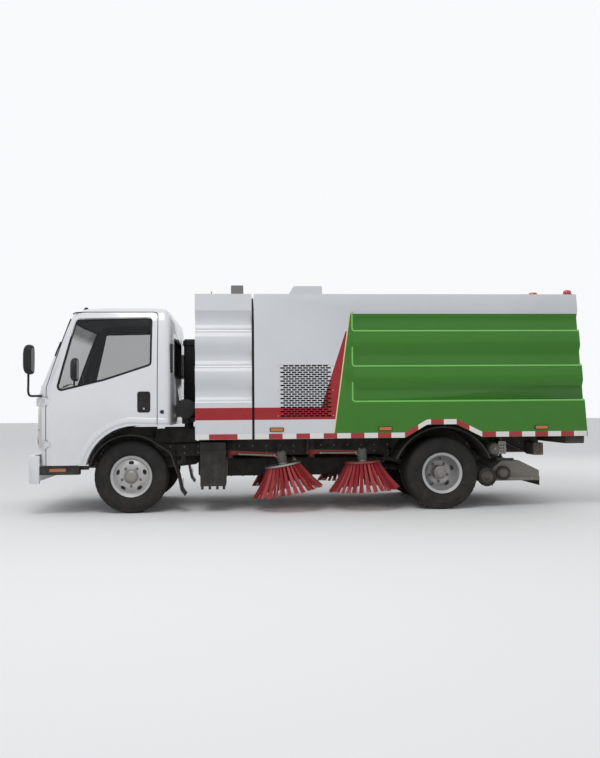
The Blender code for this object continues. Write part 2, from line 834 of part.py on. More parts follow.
def hinge_barrel(side, height):
    """A door hinge's moving half: a bored barrel on a leaf let into the door."""
    hole = bore_radius(HINGE_PIN, HINGE_STEPS)
    profile = (
        (-HINGE_HALF, hole),
        (-HINGE_HALF, HINGE_BARREL),
        (HINGE_HALF, HINGE_BARREL),
        (HINGE_HALF, hole),
    )
    centre = (DOOR_OUTLINE[0][0], side * DOOR_HINGE_Y, height)
    leaf = blocks_both_sides(
        "leaf",
        (centre[0] + HINGE_BARREL / 2, DOOR_HINGE_Y - HINGE_LEAF / 2, height - HINGE_HALF + PIN_GAP),
        (centre[0] + HINGE_LEAF, DOOR_HINGE_Y + HINGE_PIN, height + HINGE_HALF - PIN_GAP),
        side,
    )
    cut(leaf, hinge_room(side, height, HINGE_BARREL - PIN_GAP))
    return join(turned("barrel", profile, centre, (0, 0, 1), HINGE_STEPS), leaf)


def hinge_room(side, height, radius):
    reach = HINGE_HALF + HINGE_END + 2 * PIN_GAP
    x, y = DOOR_OUTLINE[0][0], side * DOOR_HINGE_Y
    return cylinder("room", (x, y, height - reach), (x, y, height + reach), radius, HINGE_STEPS)


def door(name, side):
    panel = cab_hull(f"door_{name}", 0)
    keep(panel, door_prism("form", side, 0))
    cut(panel, cab_hull("core", CAB_WALL, -OVERRUN), underfloor("arch", 0))
    window = rounded(WINDOW_OUTLINE, CORNER)
    low, high = sorted((side * CAB_HALF_WIDTH / 2, side * (CAB_HALF_WIDTH + OVERRUN)))
    cut(panel, prism("window", window, low, high, "Y"))
    for height in HINGE_HEIGHTS:
        cut(panel, hinge_room(side, height, bore_radius(HINGE_BARREL, HINGE_STEPS)))
        join(panel, hinge_barrel(side, height))
    return panel


def door_glass(name, side):
    outline = grown(rounded(WINDOW_OUTLINE, CORNER), -SEAT_GAP)
    low, high = sorted((side * CAB_HALF_WIDTH / 2, side * (CAB_HALF_WIDTH + OVERRUN)))
    return cab_pane(f"door_glass_{name}", prism("form", outline, low, high, "Y"))


def dashboard():
    front = CAB_SECTIONS[2][1] + CAB_WALL + SEAT_GAP
    panel = cab_hull("dashboard", CAB_WALL + SEAT_GAP)
    low = (front - OVERRUN, -DASH_HALF_WIDTH, DASH_LOW)
    keep(panel, block("form", low, (DASH_REAR, DASH_HALF_WIDTH, DASH_HIGH)))
    start = Vector((DASH_REAR - COLUMN_RADIUS, -STEERING_Y, DASH_HIGH - 3 * COLUMN_RADIUS))
    centre = Vector((STEERING_X, -STEERING_Y, STEERING_Z))
    axis = (centre - start).normalized()
    ring = []
    for i in range(STEERING_RIM_SIDES):
        turn = 2 * math.pi * i / STEERING_RIM_SIDES
        along = STEERING_RIM_RADIUS * math.sin(turn)
        ring.append((along, STEERING_WHEEL_RADIUS + STEERING_RIM_RADIUS * math.cos(turn)))
    wheel = turned("rim", ring, centre, axis, PLATE_STEPS)
    reach = STEERING_WHEEL_RADIUS
    spoke = axis.cross(Vector((0, 1, 0))).normalized()
    join(wheel, bar("spoke", centre - spoke * reach, centre, STEERING_RIM_RADIUS * 2, STEERING_RIM_RADIUS))
    for turn in (-1, 1):
        across = Vector((0, turn * reach, 0))
        join(wheel, bar("spoke", centre, centre + across, STEERING_RIM_RADIUS * 2, STEERING_RIM_RADIUS))
    join(wheel, cylinder("column", start, centre + axis * STEERING_RIM_RADIUS, COLUMN_RADIUS))
    return join(panel, wheel)


def seats():
    low = ARCH_Z + ARCH_RADIUS + CAB_WALL + SEAT_GAP
    half = SEAT_Y[2] + SEAT_HALF_WIDTH
    high = SEAT_OUTLINE[0][1] + CORNER / 2
    base = block("seats", (SEAT_BASE_FRONT, -half, low), (SEAT_BASE_REAR, half, high))
    for place in SEAT_Y:
        join(base, prism("seat", SEAT_OUTLINE, place - SEAT_HALF_WIDTH, place + SEAT_HALF_WIDTH, "Y"))
    return base


def mirror(name, side):
    head = blocks_both_sides(
        f"mirror_{name}", (MIRROR_FRONT, MIRROR_IN, MIRROR_LOW), (MIRROR_REAR, MIRROR_OUT, MIRROR_HIGH), side
    )
    middle = side * (MIRROR_IN + MIRROR_OUT) / 2
    foot = Vector((MIRROR_FOOT_X, side * MIRROR_FOOT_Y, MIRROR_FOOT_Z))
    elbow = Vector((MIRROR_ARM_X - MIRROR_ARM_RADIUS, middle, MIRROR_FOOT_Z))
    join(head, cylinder("arm", elbow, (elbow.x, middle, MIRROR_LOW + CORNER), MIRROR_ARM_RADIUS, 8))
    join(head, cylinder("arm", foot, elbow, MIRROR_TUBE_RADIUS, 8))
    return cut(head, cab_hull("core", -SEAT_GAP))


def front_bumper():
    half = BUMPER_HALF_WIDTH
    outer = [(BUMPER_REAR, -half)] + arc(
        (-FRONT_OVERHANG + BUMPER_CORNER, -half + BUMPER_CORNER), BUMPER_CORNER, -90, -180, 5
    )
    outer += [(a, -b) for a, b in outer[::-1]]
    inner = grown(outer, -BUMPER_THICKNESS)
    inner[0] = (BUMPER_REAR + OVERRUN, inner[0][1])
    inner[-1] = (BUMPER_REAR + OVERRUN, inner[-1][1])
    bumper = prism("front_bumper", outer, BUMPER_LOW, BUMPER_HIGH, "Z")
    return cut(bumper, prism("hollow", inner, BUMPER_LOW - OVERRUN, BUMPER_HIGH + OVERRUN, "Z"))


def front_mudguard(name, side):
    rim = arc((0, TYRE_RADIUS), GUARD_RADIUS, GUARD_REAR_ANGLE, GUARD_FRONT_ANGLE, 12)
    line = list(GUARD_TAIL[::-1]) + rim
    low, high = sorted((side * GUARD_IN, side * GUARD_OUT))
    guard = prism(f"front_mudguard_{name}", band(line[::-1], GUARD_THICKNESS), low, high, "Y")
    step = blocks_both_sides(
        "step", (BUMPER_REAR + SEAT_GAP, STEP_IN, STEP_LOW), (STEP_REAR, STEP_OUT, STEP_HIGH), side
    )
    middle = GUARD_RADIUS + GUARD_THICKNESS / 2
    lip = arc((0, TYRE_RADIUS), middle, GUARD_FRONT_ANGLE, GUARD_FRONT_ANGLE, 1)[0]
    link = blocks_both_sides(
        "link", (STEP_REAR - CORNER, STEP_IN, STEP_HIGH - CORNER), (lip[0], GUARD_OUT, STEP_HIGH), side
    )
    tail = GUARD_TAIL[0]
    brace = blocks_both_sides(
        "brace",
        (tail[0], RAIL_OUT + SEAT_GAP, GUARD_BAR_LOW),
        (tail[0] + GUARD_BAR_HIGH - GUARD_BAR_LOW, GUARD_IN + CORNER, GUARD_BAR_HIGH),
        side,
    )
    return join(guard, step, link, brace)


def rear_mudguard(name, side):
    rim = arc((WHEELBASE, REAR_GUARD_Z), REAR_GUARD_RADIUS, REAR_GUARD_ANGLE, 180 - REAR_GUARD_ANGLE, 14)
    low, high = sorted((side * REAR_GUARD_IN, side * REAR_GUARD_OUT))
    guard = prism(f"rear_mudguard_{name}", band(rim[::-1], GUARD_THICKNESS), low, high, "Y")
    half = (GUARD_BAR_HIGH - GUARD_BAR_LOW) / 2
    for end in (-1, 1):
        middle = WHEELBASE + end * REAR_GUARD_BAR_X
        join(guard, blocks_both_sides(
            "brace",
            (middle - half, RAIL_OUT + SEAT_GAP, GUARD_BAR_LOW),
            (middle + half, REAR_GUARD_IN + CORNER, GUARD_BAR_HIGH),
            side,
        ))
    return guard


def channel_rail(side):
    outline = (
        (side * RAIL_OUT, RAIL_BOTTOM),
        (side * RAIL_OUT, RAIL_TOP),
        (side * RAIL_IN, RAIL_TOP),
        (side * RAIL_IN, RAIL_TOP - RAIL_PLATE),
        (side * (RAIL_OUT - RAIL_PLATE), RAIL_TOP - RAIL_PLATE),
        (side * (RAIL_OUT - RAIL_PLATE), RAIL_BOTTOM + RAIL_PLATE),
        (side * RAIL_IN, RAIL_BOTTOM + RAIL_PLATE),
        (side * RAIL_IN, RAIL_BOTTOM),
    )
    return prism("rail", outline, RAIL_FRONT, RAIL_REAR, "X")


def pin_axis(side):
    """The leaning pin that swings a brush out and lowers it as it goes."""
    lean = math.radians(PIN_LEAN)
    return Vector((0, math.sin(lean), side * math.cos(lean)))


def pin_inward(side):
    lean = math.radians(PIN_LEAN)
    return Vector((0, -side * math.cos(lean), math.sin(lean)))


def brush_bracket(side, station):
    pin = Vector((station, side * ARM_PIN_Y, ARM_PIN_Z))
    axis = pin_axis(side)
    inward = pin_inward(side)
    web = blocks_both_sides(
        "web",
        (station - WEB_HALF_WIDTH, WEB_IN, WEB_LOW),
        (station + WEB_HALF_WIDTH, WEB_OUT, WEB_HIGH),
        side,
    )
    join(web, blocks_both_sides(
        "seat",
        (station - WEB_HALF_WIDTH, RAIL_OUT - RAIL_PLATE / 2, CROSS_LOW),
        (station + WEB_HALF_WIDTH, WEB_IN + OVERRUN, CROSS_HIGH),
        side,
    ))
    offset = ARM_BOSS_HALF + PIN_GAP + ARM_EAR / 2
    for end in (-1, 1):
        middle = pin + axis * end * offset
        corners = []
        for reach in (-ARM_BOSS_RADIUS, ARM_EAR_REACH):
            for a, b in ((-1, -1), (1, -1), (1, 1), (-1, 1)):
                corners.append(
                    middle + inward * reach + axis * b * ARM_EAR / 2 + Vector((a * ARM_EAR_HALF_WIDTH, 0, 0))
                )
        faces = [(0, 1, 2, 3), (4, 5, 6, 7), (0, 1, 5, 4), (1, 2, 6, 5), (2, 3, 7, 6), (3, 0, 4, 7)]
        join(web, solid("ear", corners, faces))
    reach = ARM_BOSS_HALF + ARM_EAR
    return join(web, cylinder("pin", pin - axis * reach, pin + axis * reach, ARM_PIN_RADIUS))


def tilt_bracket(side):
    """The fork in front of a rail that carries the cab's tilting hinge."""
    bracket = blocks_both_sides(
        "foot",
        (TILT_X - TILT_LUG / 2, TILT_Y - TILT_LUG_HALF, RAIL_BOTTOM + CROSS_HALF / 2),
        (TILT_X + TILT_LUG / 2, TILT_Y + TILT_LUG_HALF, TILT_Z - TILT_LUG),
        side,
    )
    for inner in (TILT_Y - TILT_LUG_HALF, TILT_Y + TILT_LUG_HALF - TILT_EAR):
        low, high = sorted((side * inner, side * (inner + TILT_EAR)))
        ear = turned(
            "ear",
            ((low, 0), (low, TILT_LUG), (high, TILT_LUG), (high, 0)),
            (TILT_X, 0, TILT_Z),
            (0, 1, 0),
            ROUND_STEPS,
        )
        join(ear, block(
            "stem",
            (TILT_X - TILT_LUG / 2, low, TILT_Z - TILT_LUG - TILT_EAR),
            (TILT_X + TILT_LUG / 2, high, TILT_Z),
        ))
        join(bracket, ear)
    start = (TILT_X, side * (TILT_Y - TILT_LUG_HALF + TILT_EAR / 2), TILT_Z)
    end = (TILT_X, side * (TILT_Y + TILT_LUG_HALF - TILT_EAR / 2), TILT_Z)
    return join(bracket, cylinder("pin", start, end, TILT_PIN))


def tilt_eye(side):
    """The eye under the cab's floor that turns on the tilting hinge's pin."""
    half = TILT_LUG_HALF - TILT_EAR - PIN_GAP
    hanger = blocks_both_sides(
        "hanger",
        (TILT_X - TILT_EYE / 2, TILT_Y - half, TILT_Z),
        (TILT_X + TILT_EYE / 2, TILT_Y + half, NOTCH_TOP + CAB_WALL / 2),
        side,
    )
    low, high = sorted((side * (TILT_Y - half), side * (TILT_Y + half)))
    disc = turned(
        "disc",
        ((low, 0), (low, TILT_EYE), (high, TILT_EYE), (high, 0)),
        (TILT_X, 0, TILT_Z),
        (0, 1, 0),
        ROUND_STEPS,
    )
    join(hanger, disc)
    start = (TILT_X, side * (TILT_Y - OVERRUN), TILT_Z)
    end = (TILT_X, side * (TILT_Y + OVERRUN), TILT_Z)
    return cut(hanger, cylinder("bore", start, end, bore_radius(TILT_PIN)))


def chassis_frame():
    frame = channel_rail(-1)
    frame.name = "chassis_frame"
    crosses = list(CROSS_STATIONS)
    for station in crosses:
        low = (station - CROSS_HALF, -RAIL_OUT + RAIL_PLATE / 2, CROSS_LOW)
        join(frame, block("cross", low, (station + CROSS_HALF, RAIL_OUT - RAIL_PLATE / 2, CROSS_HIGH)))
    join(frame, channel_rail(1))
    for name, side in SIDES:
        join(frame, blocks_both_sides(
            "horn",
            (BUMPER_BRACKET_FRONT + SEAT_GAP, RAIL_IN, RAIL_BOTTOM),
            (RAIL_FRONT + OVERRUN, RAIL_OUT, RAIL_BOTTOM + CROSS_HALF),
            side,
        ))
        join(frame, tilt_bracket(side))
        join(frame, blocks_both_sides(
            "engine_mount",
            (ENGINE_MOUNT_X - ENGINE_MOUNT_HALF, ENGINE_HALF_WIDTH + SEAT_GAP, CROSS_LOW),
            (ENGINE_MOUNT_X + ENGINE_MOUNT_HALF, RAIL_OUT - RAIL_PLATE / 2, CROSS_HIGH - CROSS_HALF),
            side,
        ))
        for brush_x, pin_x, plate_z in BRUSH_PLACES:
            join(frame, brush_bracket(side, pin_x))
        guide = blocks_both_sides(
            "guide",
            (DUCT_X - GUIDE_HALF, RAIL_OUT - RAIL_PLATE / 2, RAIL_BOTTOM),
            (DUCT_X + GUIDE_HALF, GUIDE_Y + GUIDE_HALF, CROSS_HIGH),
            side,
        )
        join(frame, guide)
        bore = cylinder(
            "bore",
            (DUCT_X, side * GUIDE_Y, RAIL_BOTTOM - OVERRUN),
            (DUCT_X, side * GUIDE_Y, CROSS_HIGH + OVERRUN),
            GUIDE_RADIUS + PIN_GAP,
        )
        cut(frame, bore)
    foot = EYE_HALF_WIDTH + EAR_CLEARANCE
    for side in (-1, 1):
        ear = blocks_both_sides(
            "ear",
            (BARREL_FOOT_X - EYE_RADIUS, foot, BARREL_FOOT_Z - EYE_RADIUS),
            (CROSS_STATIONS[4], foot + ARM_EAR, BARREL_FOOT_Z + EYE_RADIUS),
            side,
        )
        join(frame, ear)
    pin_reach = foot + ARM_EAR / 2
    start = (BARREL_FOOT_X, -pin_reach, BARREL_FOOT_Z)
    return join(frame, cylinder("pin", start, (BARREL_FOOT_X, pin_reach, BARREL_FOOT_Z), EYE_RADIUS / 2))


def sub_frame():
    low = RAIL_TOP + SEAT_GAP
    outline = (
        (SUB_FRONT, low),
        (PIVOT_X + PIVOT_HEAD, low),
        (PIVOT_X + PIVOT_HEAD, PIVOT_Z),
        (PIVOT_X + PIVOT_SHOULDER, PIVOT_Z + PIVOT_SHOULDER),
        (PIVOT_X, BODY_BOTTOM),
        (SUB_FRONT, BODY_BOTTOM),
    )
    frame = prism("sub_frame", outline, -RAIL_OUT, -RAIL_IN, "Y")
    for station in (CROSS_STATIONS[2], CROSS_STATIONS[5]):
        join(frame, block(
            "cross",
            (station - CROSS_HALF, -RAIL_IN - CROSS_HALF, low),
            (station + CROSS_HALF, RAIL_IN + CROSS_HALF, BODY_BOTTOM),
        ))
    join(frame, prism("bar", outline, RAIL_IN, RAIL_OUT, "Y"))
    for side in (-1, 1):
        start = (PIVOT_X, side * PIVOT_LUG_IN, PIVOT_Z)
        end = (PIVOT_X, side * (RAIL_IN + PIVOT_PIN), PIVOT_Z)
        join(frame, cylinder("pin", start, end, PIVOT_PIN))
    return frame


def leaf_spring(station, side, eye_z):
    """A bowed leaf pack, low over the axle and reaching up to the rail at its ends."""
    line = []
    for i in range(9):
        share = -1 + i / 4
        line.append((station + share * SPRING_HALF_LENGTH, eye_z - SPRING_SAG * (1 - share**2)))
    low, high = sorted((side * (SPRING_Y - SPRING_HALF_WIDTH), side * (SPRING_Y + SPRING_HALF_WIDTH)))
    spring = prism("spring", band(line, SPRING_THICKNESS), low, high, "Y")
    for end in (-1, 1):
        x = station + end * (SPRING_HALF_LENGTH - SPRING_THICKNESS)
        join(spring, block(
            "hanger",
            (x - SPRING_THICKNESS / 2, low, eye_z - SPRING_SAG / 4),
            (x + SPRING_THICKNESS / 2, high, RAIL_BOTTOM - SEAT_GAP),
        ))
    return spring


def front_axle():
    low = TYRE_RADIUS - BEAM_HALF_HEIGHT
    high = TYRE_RADIUS + BEAM_HALF_HEIGHT
    slim = BEAM_HALF_HEIGHT * BEAM_SLIM_SHARE
    beam = block(
        "front_axle",
        (-BEAM_HALF_DEPTH, -KINGPIN_Y, TYRE_RADIUS - slim),
        (BEAM_HALF_DEPTH, KINGPIN_Y, TYRE_RADIUS + slim),
    )
    for side in (-1, 1):
        pin_y = side * KINGPIN_Y
        reach = BEAM_HALF_HEIGHT + PIN_GAP + EAR_THICKNESS
        join(beam, cylinder("boss", (0, pin_y, low), (0, pin_y, high), KINGPIN_BOSS))
        pin_low = (0, pin_y, TYRE_RADIUS - reach)
        join(beam, cylinder("pin", pin_low, (0, pin_y, TYRE_RADIUS + reach), KINGPIN_RADIUS))
        join(beam, leaf_spring(0, side, RAIL_BOTTOM - SPRING_THICKNESS - SPRING_THICKNESS / 2))
        join(beam, blocks_both_sides(
            "pad",
            (-KINGPIN_BOSS, SPRING_Y - SPRING_HALF_WIDTH / 2, TYRE_RADIUS),
            (KINGPIN_BOSS, SPRING_Y + SPRING_HALF_WIDTH / 2, high + CROSS_HALF),
            side,
        ))
    return beam


def knuckle(name, side):
    pin_y = side * KINGPIN_Y
    near = BEAM_HALF_HEIGHT + PIN_GAP
    far = near + EAR_THICKNESS
    plate = blocks_both_sides(
        f"knuckle_{name}",
        (-KINGPIN_BOSS, KNUCKLE_PLATE_IN, TYRE_RADIUS - far),
        (KINGPIN_BOSS, KNUCKLE_PLATE_OUT, TYRE_RADIUS + far),
        side,
    )
    for end in (-1, 1):
        a, b = sorted((TYRE_RADIUS + end * near, TYRE_RADIUS + end * far))
        join(plate, cylinder("ear", (0, pin_y, a), (0, pin_y, b), KINGPIN_BOSS))
        join(plate, blocks_both_sides(
            "ear", (-KINGPIN_BOSS, KINGPIN_Y, a), (KINGPIN_BOSS, KNUCKLE_PLATE_OUT, b), side
        ))
    hub_end = FRONT_WHEEL_Y + RIM_HALF_WIDTH / 2
    root = (0, side * KNUCKLE_PLATE_IN, TYRE_RADIUS)
    join(plate, cylinder("spindle", root, (0, side * hub_end, TYRE_RADIUS), SPINDLE_RADIUS))
    arm_z = TYRE_RADIUS - far + EAR_THICKNESS / 2
    eye = Vector((STEER_ARM_LENGTH, side * STEER_EYE_Y, arm_z))
    half = Vector((0, 0, EAR_THICKNESS / 2))
    join(plate, bar("arm", (0, pin_y, arm_z), eye, KINGPIN_BOSS, EAR_THICKNESS))
    join(plate, cylinder("boss", eye - half, eye + half, STEER_BOSS))
    cut(plate, cylinder(
        "bore",
        (0, pin_y, TYRE_RADIUS - far - OVERRUN),
        (0, pin_y, TYRE_RADIUS + far + OVERRUN),
        bore_radius(KINGPIN_RADIUS),
    ))
    return plate


def tie_rod():
    arm_low = TYRE_RADIUS - BEAM_HALF_HEIGHT - PIN_GAP - EAR_THICKNESS
    z = arm_low - PIN_GAP - TIE_EYE_HALF
    start = (STEER_ARM_LENGTH, -STEER_EYE_Y, z)
    rod = cylinder("tie_rod", start, (STEER_ARM_LENGTH, STEER_EYE_Y, z), TIE_ROD_RADIUS)
    half = Vector((0, 0, TIE_EYE_HALF))
    for side in (-1, 1):
        eye = Vector((STEER_ARM_LENGTH, side * STEER_EYE_Y, z))
        join(rod, cylinder("eye", eye - half, eye + half, TIE_EYE_RADIUS))
    return rod


def rear_axle():
    half = DIFF_HALF_WIDTH
    dome = [(-half, AXLE_TUBE_RADIUS)] + [
        (half * share, AXLE_TUBE_RADIUS + (DIFF_RADIUS - AXLE_TUBE_RADIUS) * math.sqrt(1 - share**2))
        for share in DOME_SHARES
    ] + [(half, AXLE_TUBE_RADIUS)]
    tip = REAR_WHEEL_Y + DISC_THICKNESS * 3
    profile = [(-tip, 0), (-tip, REAR_SPINDLE_RADIUS), (-DRUM_OUT, REAR_SPINDLE_RADIUS)]
    profile += [(-DRUM_OUT, DRUM_RADIUS), (-DRUM_IN, DRUM_RADIUS), (-DRUM_IN, AXLE_TUBE_RADIUS)]
    profile += dome
    profile += [(-a, b) for a, b in profile[5:0:-1]] + [(tip, 0)]
    axle = turned("rear_axle", profile, (WHEELBASE, 0, TYRE_RADIUS), (0, 1, 0), AXLE_STEPS)
    for side in (-1, 1):
        eye = RAIL_BOTTOM - SPRING_THICKNESS - SPRING_THICKNESS / 4
        join(axle, leaf_spring(WHEELBASE, side, eye))
    return axle


def rear_rim(name, side):
    """Both rims of a twin wheel, bolted disc to disc, with their hub."""
    near = TWIN_HALF_SPACING - RIM_HALF_WIDTH
    far = TWIN_HALF_SPACING + RIM_HALF_WIDTH
    bead_near = TWIN_HALF_SPACING - BEAD_HALF_WIDTH
    bead_far = TWIN_HALF_SPACING + BEAD_HALF_WIDTH
    disc = DISC_THICKNESS
    outer = [
        (REAR_HUB_REACH, 0),
        (REAR_HUB_REACH, REAR_HUB_FACE),
        (REAR_HUB_REACH - disc, REAR_HUB_RADIUS),
        (disc, REAR_HUB_RADIUS),
        (disc, REAR_DISC_RADIUS),
        (TWIN_HALF_SPACING / 2, BARREL_INNER),
        (far, BARREL_INNER + DISC_THICKNESS),
        (far, RIM_LIP),
        (bead_far, RIM_LIP),
        (bead_far, BEAD_RADIUS),
        (bead_near, BEAD_RADIUS),
        (bead_near, RIM_LIP),
        (near, RIM_LIP),
        (near, BARREL_INNER + DISC_THICKNESS),
    ]
    inner = [
        (-near, BARREL_INNER + DISC_THICKNESS),
        (-near, RIM_LIP),
        (-bead_near, RIM_LIP),
        (-bead_near, BEAD_RADIUS),
        (-bead_far, BEAD_RADIUS),
        (-bead_far, RIM_LIP),
        (-far, RIM_LIP),
        (-far, BARREL_INNER),
        (-TWIN_HALF_SPACING / 2, BARREL_INNER),
        (-disc, REAR_DISC_RADIUS),
        (-disc, REAR_SPINDLE_RADIUS + PIN_GAP),
        (DISC_THICKNESS * 4, REAR_SPINDLE_RADIUS + PIN_GAP),
        (DISC_THICKNESS * 4, 0),
    ]
    centre = (WHEELBASE, side * REAR_WHEEL_Y, TYRE_RADIUS)
    return turned(f"rear_rim_{name}", outer + inner, centre, (0, side, 0))


def front_rim(name, side):
    """A crowned disc wheel with its hub, closed by a cap on the outside."""
    disc = DISC_THICKNESS
    well = BEAD_HALF_WIDTH / 2
    profile = [
        (FRONT_HUB_REACH, 0),
        (FRONT_HUB_REACH, FRONT_HUB_FACE),
        (FRONT_HUB_REACH - disc, FRONT_HUB_RADIUS),
        (RIM_HALF_WIDTH, FRONT_HUB_RADIUS),
        (RIM_HALF_WIDTH, CROWN_RADIUS),
        (RIM_HALF_WIDTH - disc, CROWN_EDGE_RADIUS),
        (CROWN_EDGE_REACH, BARREL_INNER),
        (RIM_HALF_WIDTH, BARREL_INNER + DISC_THICKNESS),
        (RIM_HALF_WIDTH, RIM_LIP),
        (BEAD_HALF_WIDTH, RIM_LIP),
        (BEAD_HALF_WIDTH, BEAD_RADIUS),
        (-BEAD_HALF_WIDTH, BEAD_RADIUS),
        (-BEAD_HALF_WIDTH, RIM_LIP),
        (-RIM_HALF_WIDTH, RIM_LIP),
        (-RIM_HALF_WIDTH, BARREL_INNER + DISC_THICKNESS),
        (-well, BARREL_INNER),
        (BEAD_HALF_WIDTH / 4, BARREL_INNER),
        (RIM_HALF_WIDTH - disc * 3, CROWN_RADIUS),
        (RIM_HALF_WIDTH - disc * 3, FRONT_HUB_RADIUS),
        (KNUCKLE_PLATE_OUT - FRONT_WHEEL_Y + SEAT_GAP * 2, FRONT_HUB_RADIUS),
        (KNUCKLE_PLATE_OUT - FRONT_WHEEL_Y + SEAT_GAP * 2, SPINDLE_RADIUS + PIN_GAP),
        (RIM_HALF_WIDTH / 2 + PIN_GAP, SPINDLE_RADIUS + PIN_GAP),
        (RIM_HALF_WIDTH / 2 + PIN_GAP, 0),
    ]
    return turned(f"front_rim_{name}", profile, (0, side * FRONT_WHEEL_Y, TYRE_RADIUS), (0, side, 0))


def tyre(name, station, place):
    seat = BEAD_RADIUS + SEAT_GAP
    half = [
        (BEAD_HALF_WIDTH - SEAT_GAP, seat),
        (BEAD_HALF_WIDTH - SEAT_GAP, RIM_LIP + SEAT_GAP),
    ]
    for width_share, height_share in TYRE_WALL_SHARES:
        height = RIM_LIP + (TYRE_RADIUS - RIM_LIP) * height_share
        half.append((TYRE_HALF_WIDTH * width_share, height))
    half.append((TREAD_HALF_WIDTH, TYRE_RADIUS / math.cos(math.pi / WHEEL_STEPS)))
    profile = half + [(-a, b) for a, b in half[::-1]]
    return turned(name, profile, (station, place, TYRE_RADIUS), (0, 1, 0))


def engine_block():
    return block(
        "engine_block",
        (ENGINE_FRONT, -ENGINE_HALF_WIDTH, ENGINE_LOW),
        (ENGINE_REAR, ENGINE_HALF_WIDTH, ENGINE_HIGH),
    )


def driveline():
    start = ENGINE_REAR + SEAT_GAP
    box_end = GEARBOX_REAR
    rear = Vector((WHEELBASE - DIFF_RADIUS - OVERRUN / 2, 0, TYRE_RADIUS))
    box = turned(
        "driveline",
        (
            (start, 0),
            (start, BELL_RADIUS),
            (start + GEARBOX_RADIUS, GEARBOX_RADIUS),
            (box_end - GEARBOX_RADIUS / 2, GEARBOX_TAIL_RADIUS),
            (box_end, SHAFT_COUPLING_RADIUS),
            (box_end, 0),
        ),
        (0, 0, SHAFT_Z + CROSS_HALF),
        (1, 0, 0),
        PLATE_STEPS,
    )
    join(box, cylinder("shaft", (box_end - OVERRUN, 0, SHAFT_Z + CROSS_HALF), rear, SHAFT_RADIUS))
    nose_front = rear - Vector((SHAFT_RADIUS, 0, 0))
    join(box, cylinder("nose", nose_front, rear + Vector((OVERRUN, 0, 0)), NOSE_RADIUS, AXLE_STEPS))
    guard = turned(
        "keep_out",
        (
            (-DIFF_HALF_WIDTH - SEAT_GAP, 0),
            (-DIFF_HALF_WIDTH - SEAT_GAP, DIFF_RADIUS + SEAT_GAP),
            (DIFF_HALF_WIDTH + SEAT_GAP, DIFF_RADIUS + SEAT_GAP),
            (DIFF_HALF_WIDTH + SEAT_GAP, 0),
        ),
        (WHEELBASE, 0, TYRE_RADIUS),
        (0, 1, 0),
        AXLE_STEPS,
    )
    return cut(box, guard)


def battery_box():
    box = block(
        "battery_box",
        (BATTERY_FRONT, -BATTERY_OUT, BATTERY_LOW),
        (BATTERY_REAR, -BATTERY_IN, BATTERY_HIGH),
    )
    for station in (BATTERY_FRONT + WEB_HALF_WIDTH, BATTERY_REAR - WEB_HALF_WIDTH):
        join(box, block(
            "bracket",
            (station - ARM_EAR / 2, -BATTERY_IN - OVERRUN, CROSS_LOW),
            (station + ARM_EAR / 2, -RAIL_OUT - SEAT_GAP, CROSS_HIGH),
        ))
    return box


def fuel_tank():
    outline = rounded(
        ((TANK_IN, TANK_LOW), (TANK_OUT, TANK_LOW), (TANK_OUT, TANK_HIGH), (TANK_IN, TANK_HIGH)), TANK_CORNER
    )
    tank = prism("fuel_tank", outline, TANK_FRONT, TANK_REAR, "X")
    for station in (TANK_FRONT + 2 * WEB_HALF_WIDTH, TANK_REAR - 2 * WEB_HALF_WIDTH):
        join(tank, block(
            "bracket",
            (station - ARM_EAR, RAIL_OUT + SEAT_GAP, RAIL_BOTTOM),
            (station + ARM_EAR, TANK_IN + OVERRUN, RAIL_BOTTOM + OVERRUN / 2),
        ))
    return tank


def groove(side, index, front, rear, slope):
    """One long recess pressed into a body side, with a sloped front end where it starts."""
    foot = GROOVE_FOOT + index * GROOVE_PITCH
    rings = []
    reach = BODY_HALF_WIDTH + OVERRUN
    for x, share in ((front, 0), (front + slope, 1), (rear, 1)):
        ring = [(x, side * reach, foot + GROOVE_SHAPE[0][1])]
        for depth, height in GROOVE_SHAPE:
            out = BODY_HALF_WIDTH - GROOVE_DEPTH * depth * share + SEAT_GAP * (1 - share)
            ring.append((x, side * out, foot + height))
        ring.append((x, side * reach, foot + GROOVE_SHAPE[-1][1]))
        rings.append(ring)
    if slope == 0:
        rings = rings[1:]
    return loft("groove", rings)


def equipment_housing():
    housing = block(
        "equipment_housing",
        (HOUSING_FRONT, -BODY_HALF_WIDTH, BODY_BOTTOM + SEAT_GAP),
        (HOUSING_REAR, BODY_HALF_WIDTH, BODY_TOP),
    )
    for name, side in SIDES:
        for index in range(GROOVE_COUNT):
            cut(housing, groove(side, index, HOUSING_FRONT - OVERRUN, HOUSING_REAR + OVERRUN, 0))
    return housing


def vent_box():
    return block(
        "vent_box",
        (VENT_FRONT, -VENT_HALF_WIDTH, BODY_TOP + SEAT_GAP),
        (VENT_REAR, VENT_HALF_WIDTH, BODY_TOP + VENT_RISE),
    )


def tail_x(height):
    """The station of the sloping rear edge of the body at a height."""
    share = (BODY_TOP - height) / (BODY_TOP - BODY_BOTTOM)
    return HOPPER_TAIL_TOP + (HOPPER_TAIL_BOTTOM - HOPPER_TAIL_TOP) * share


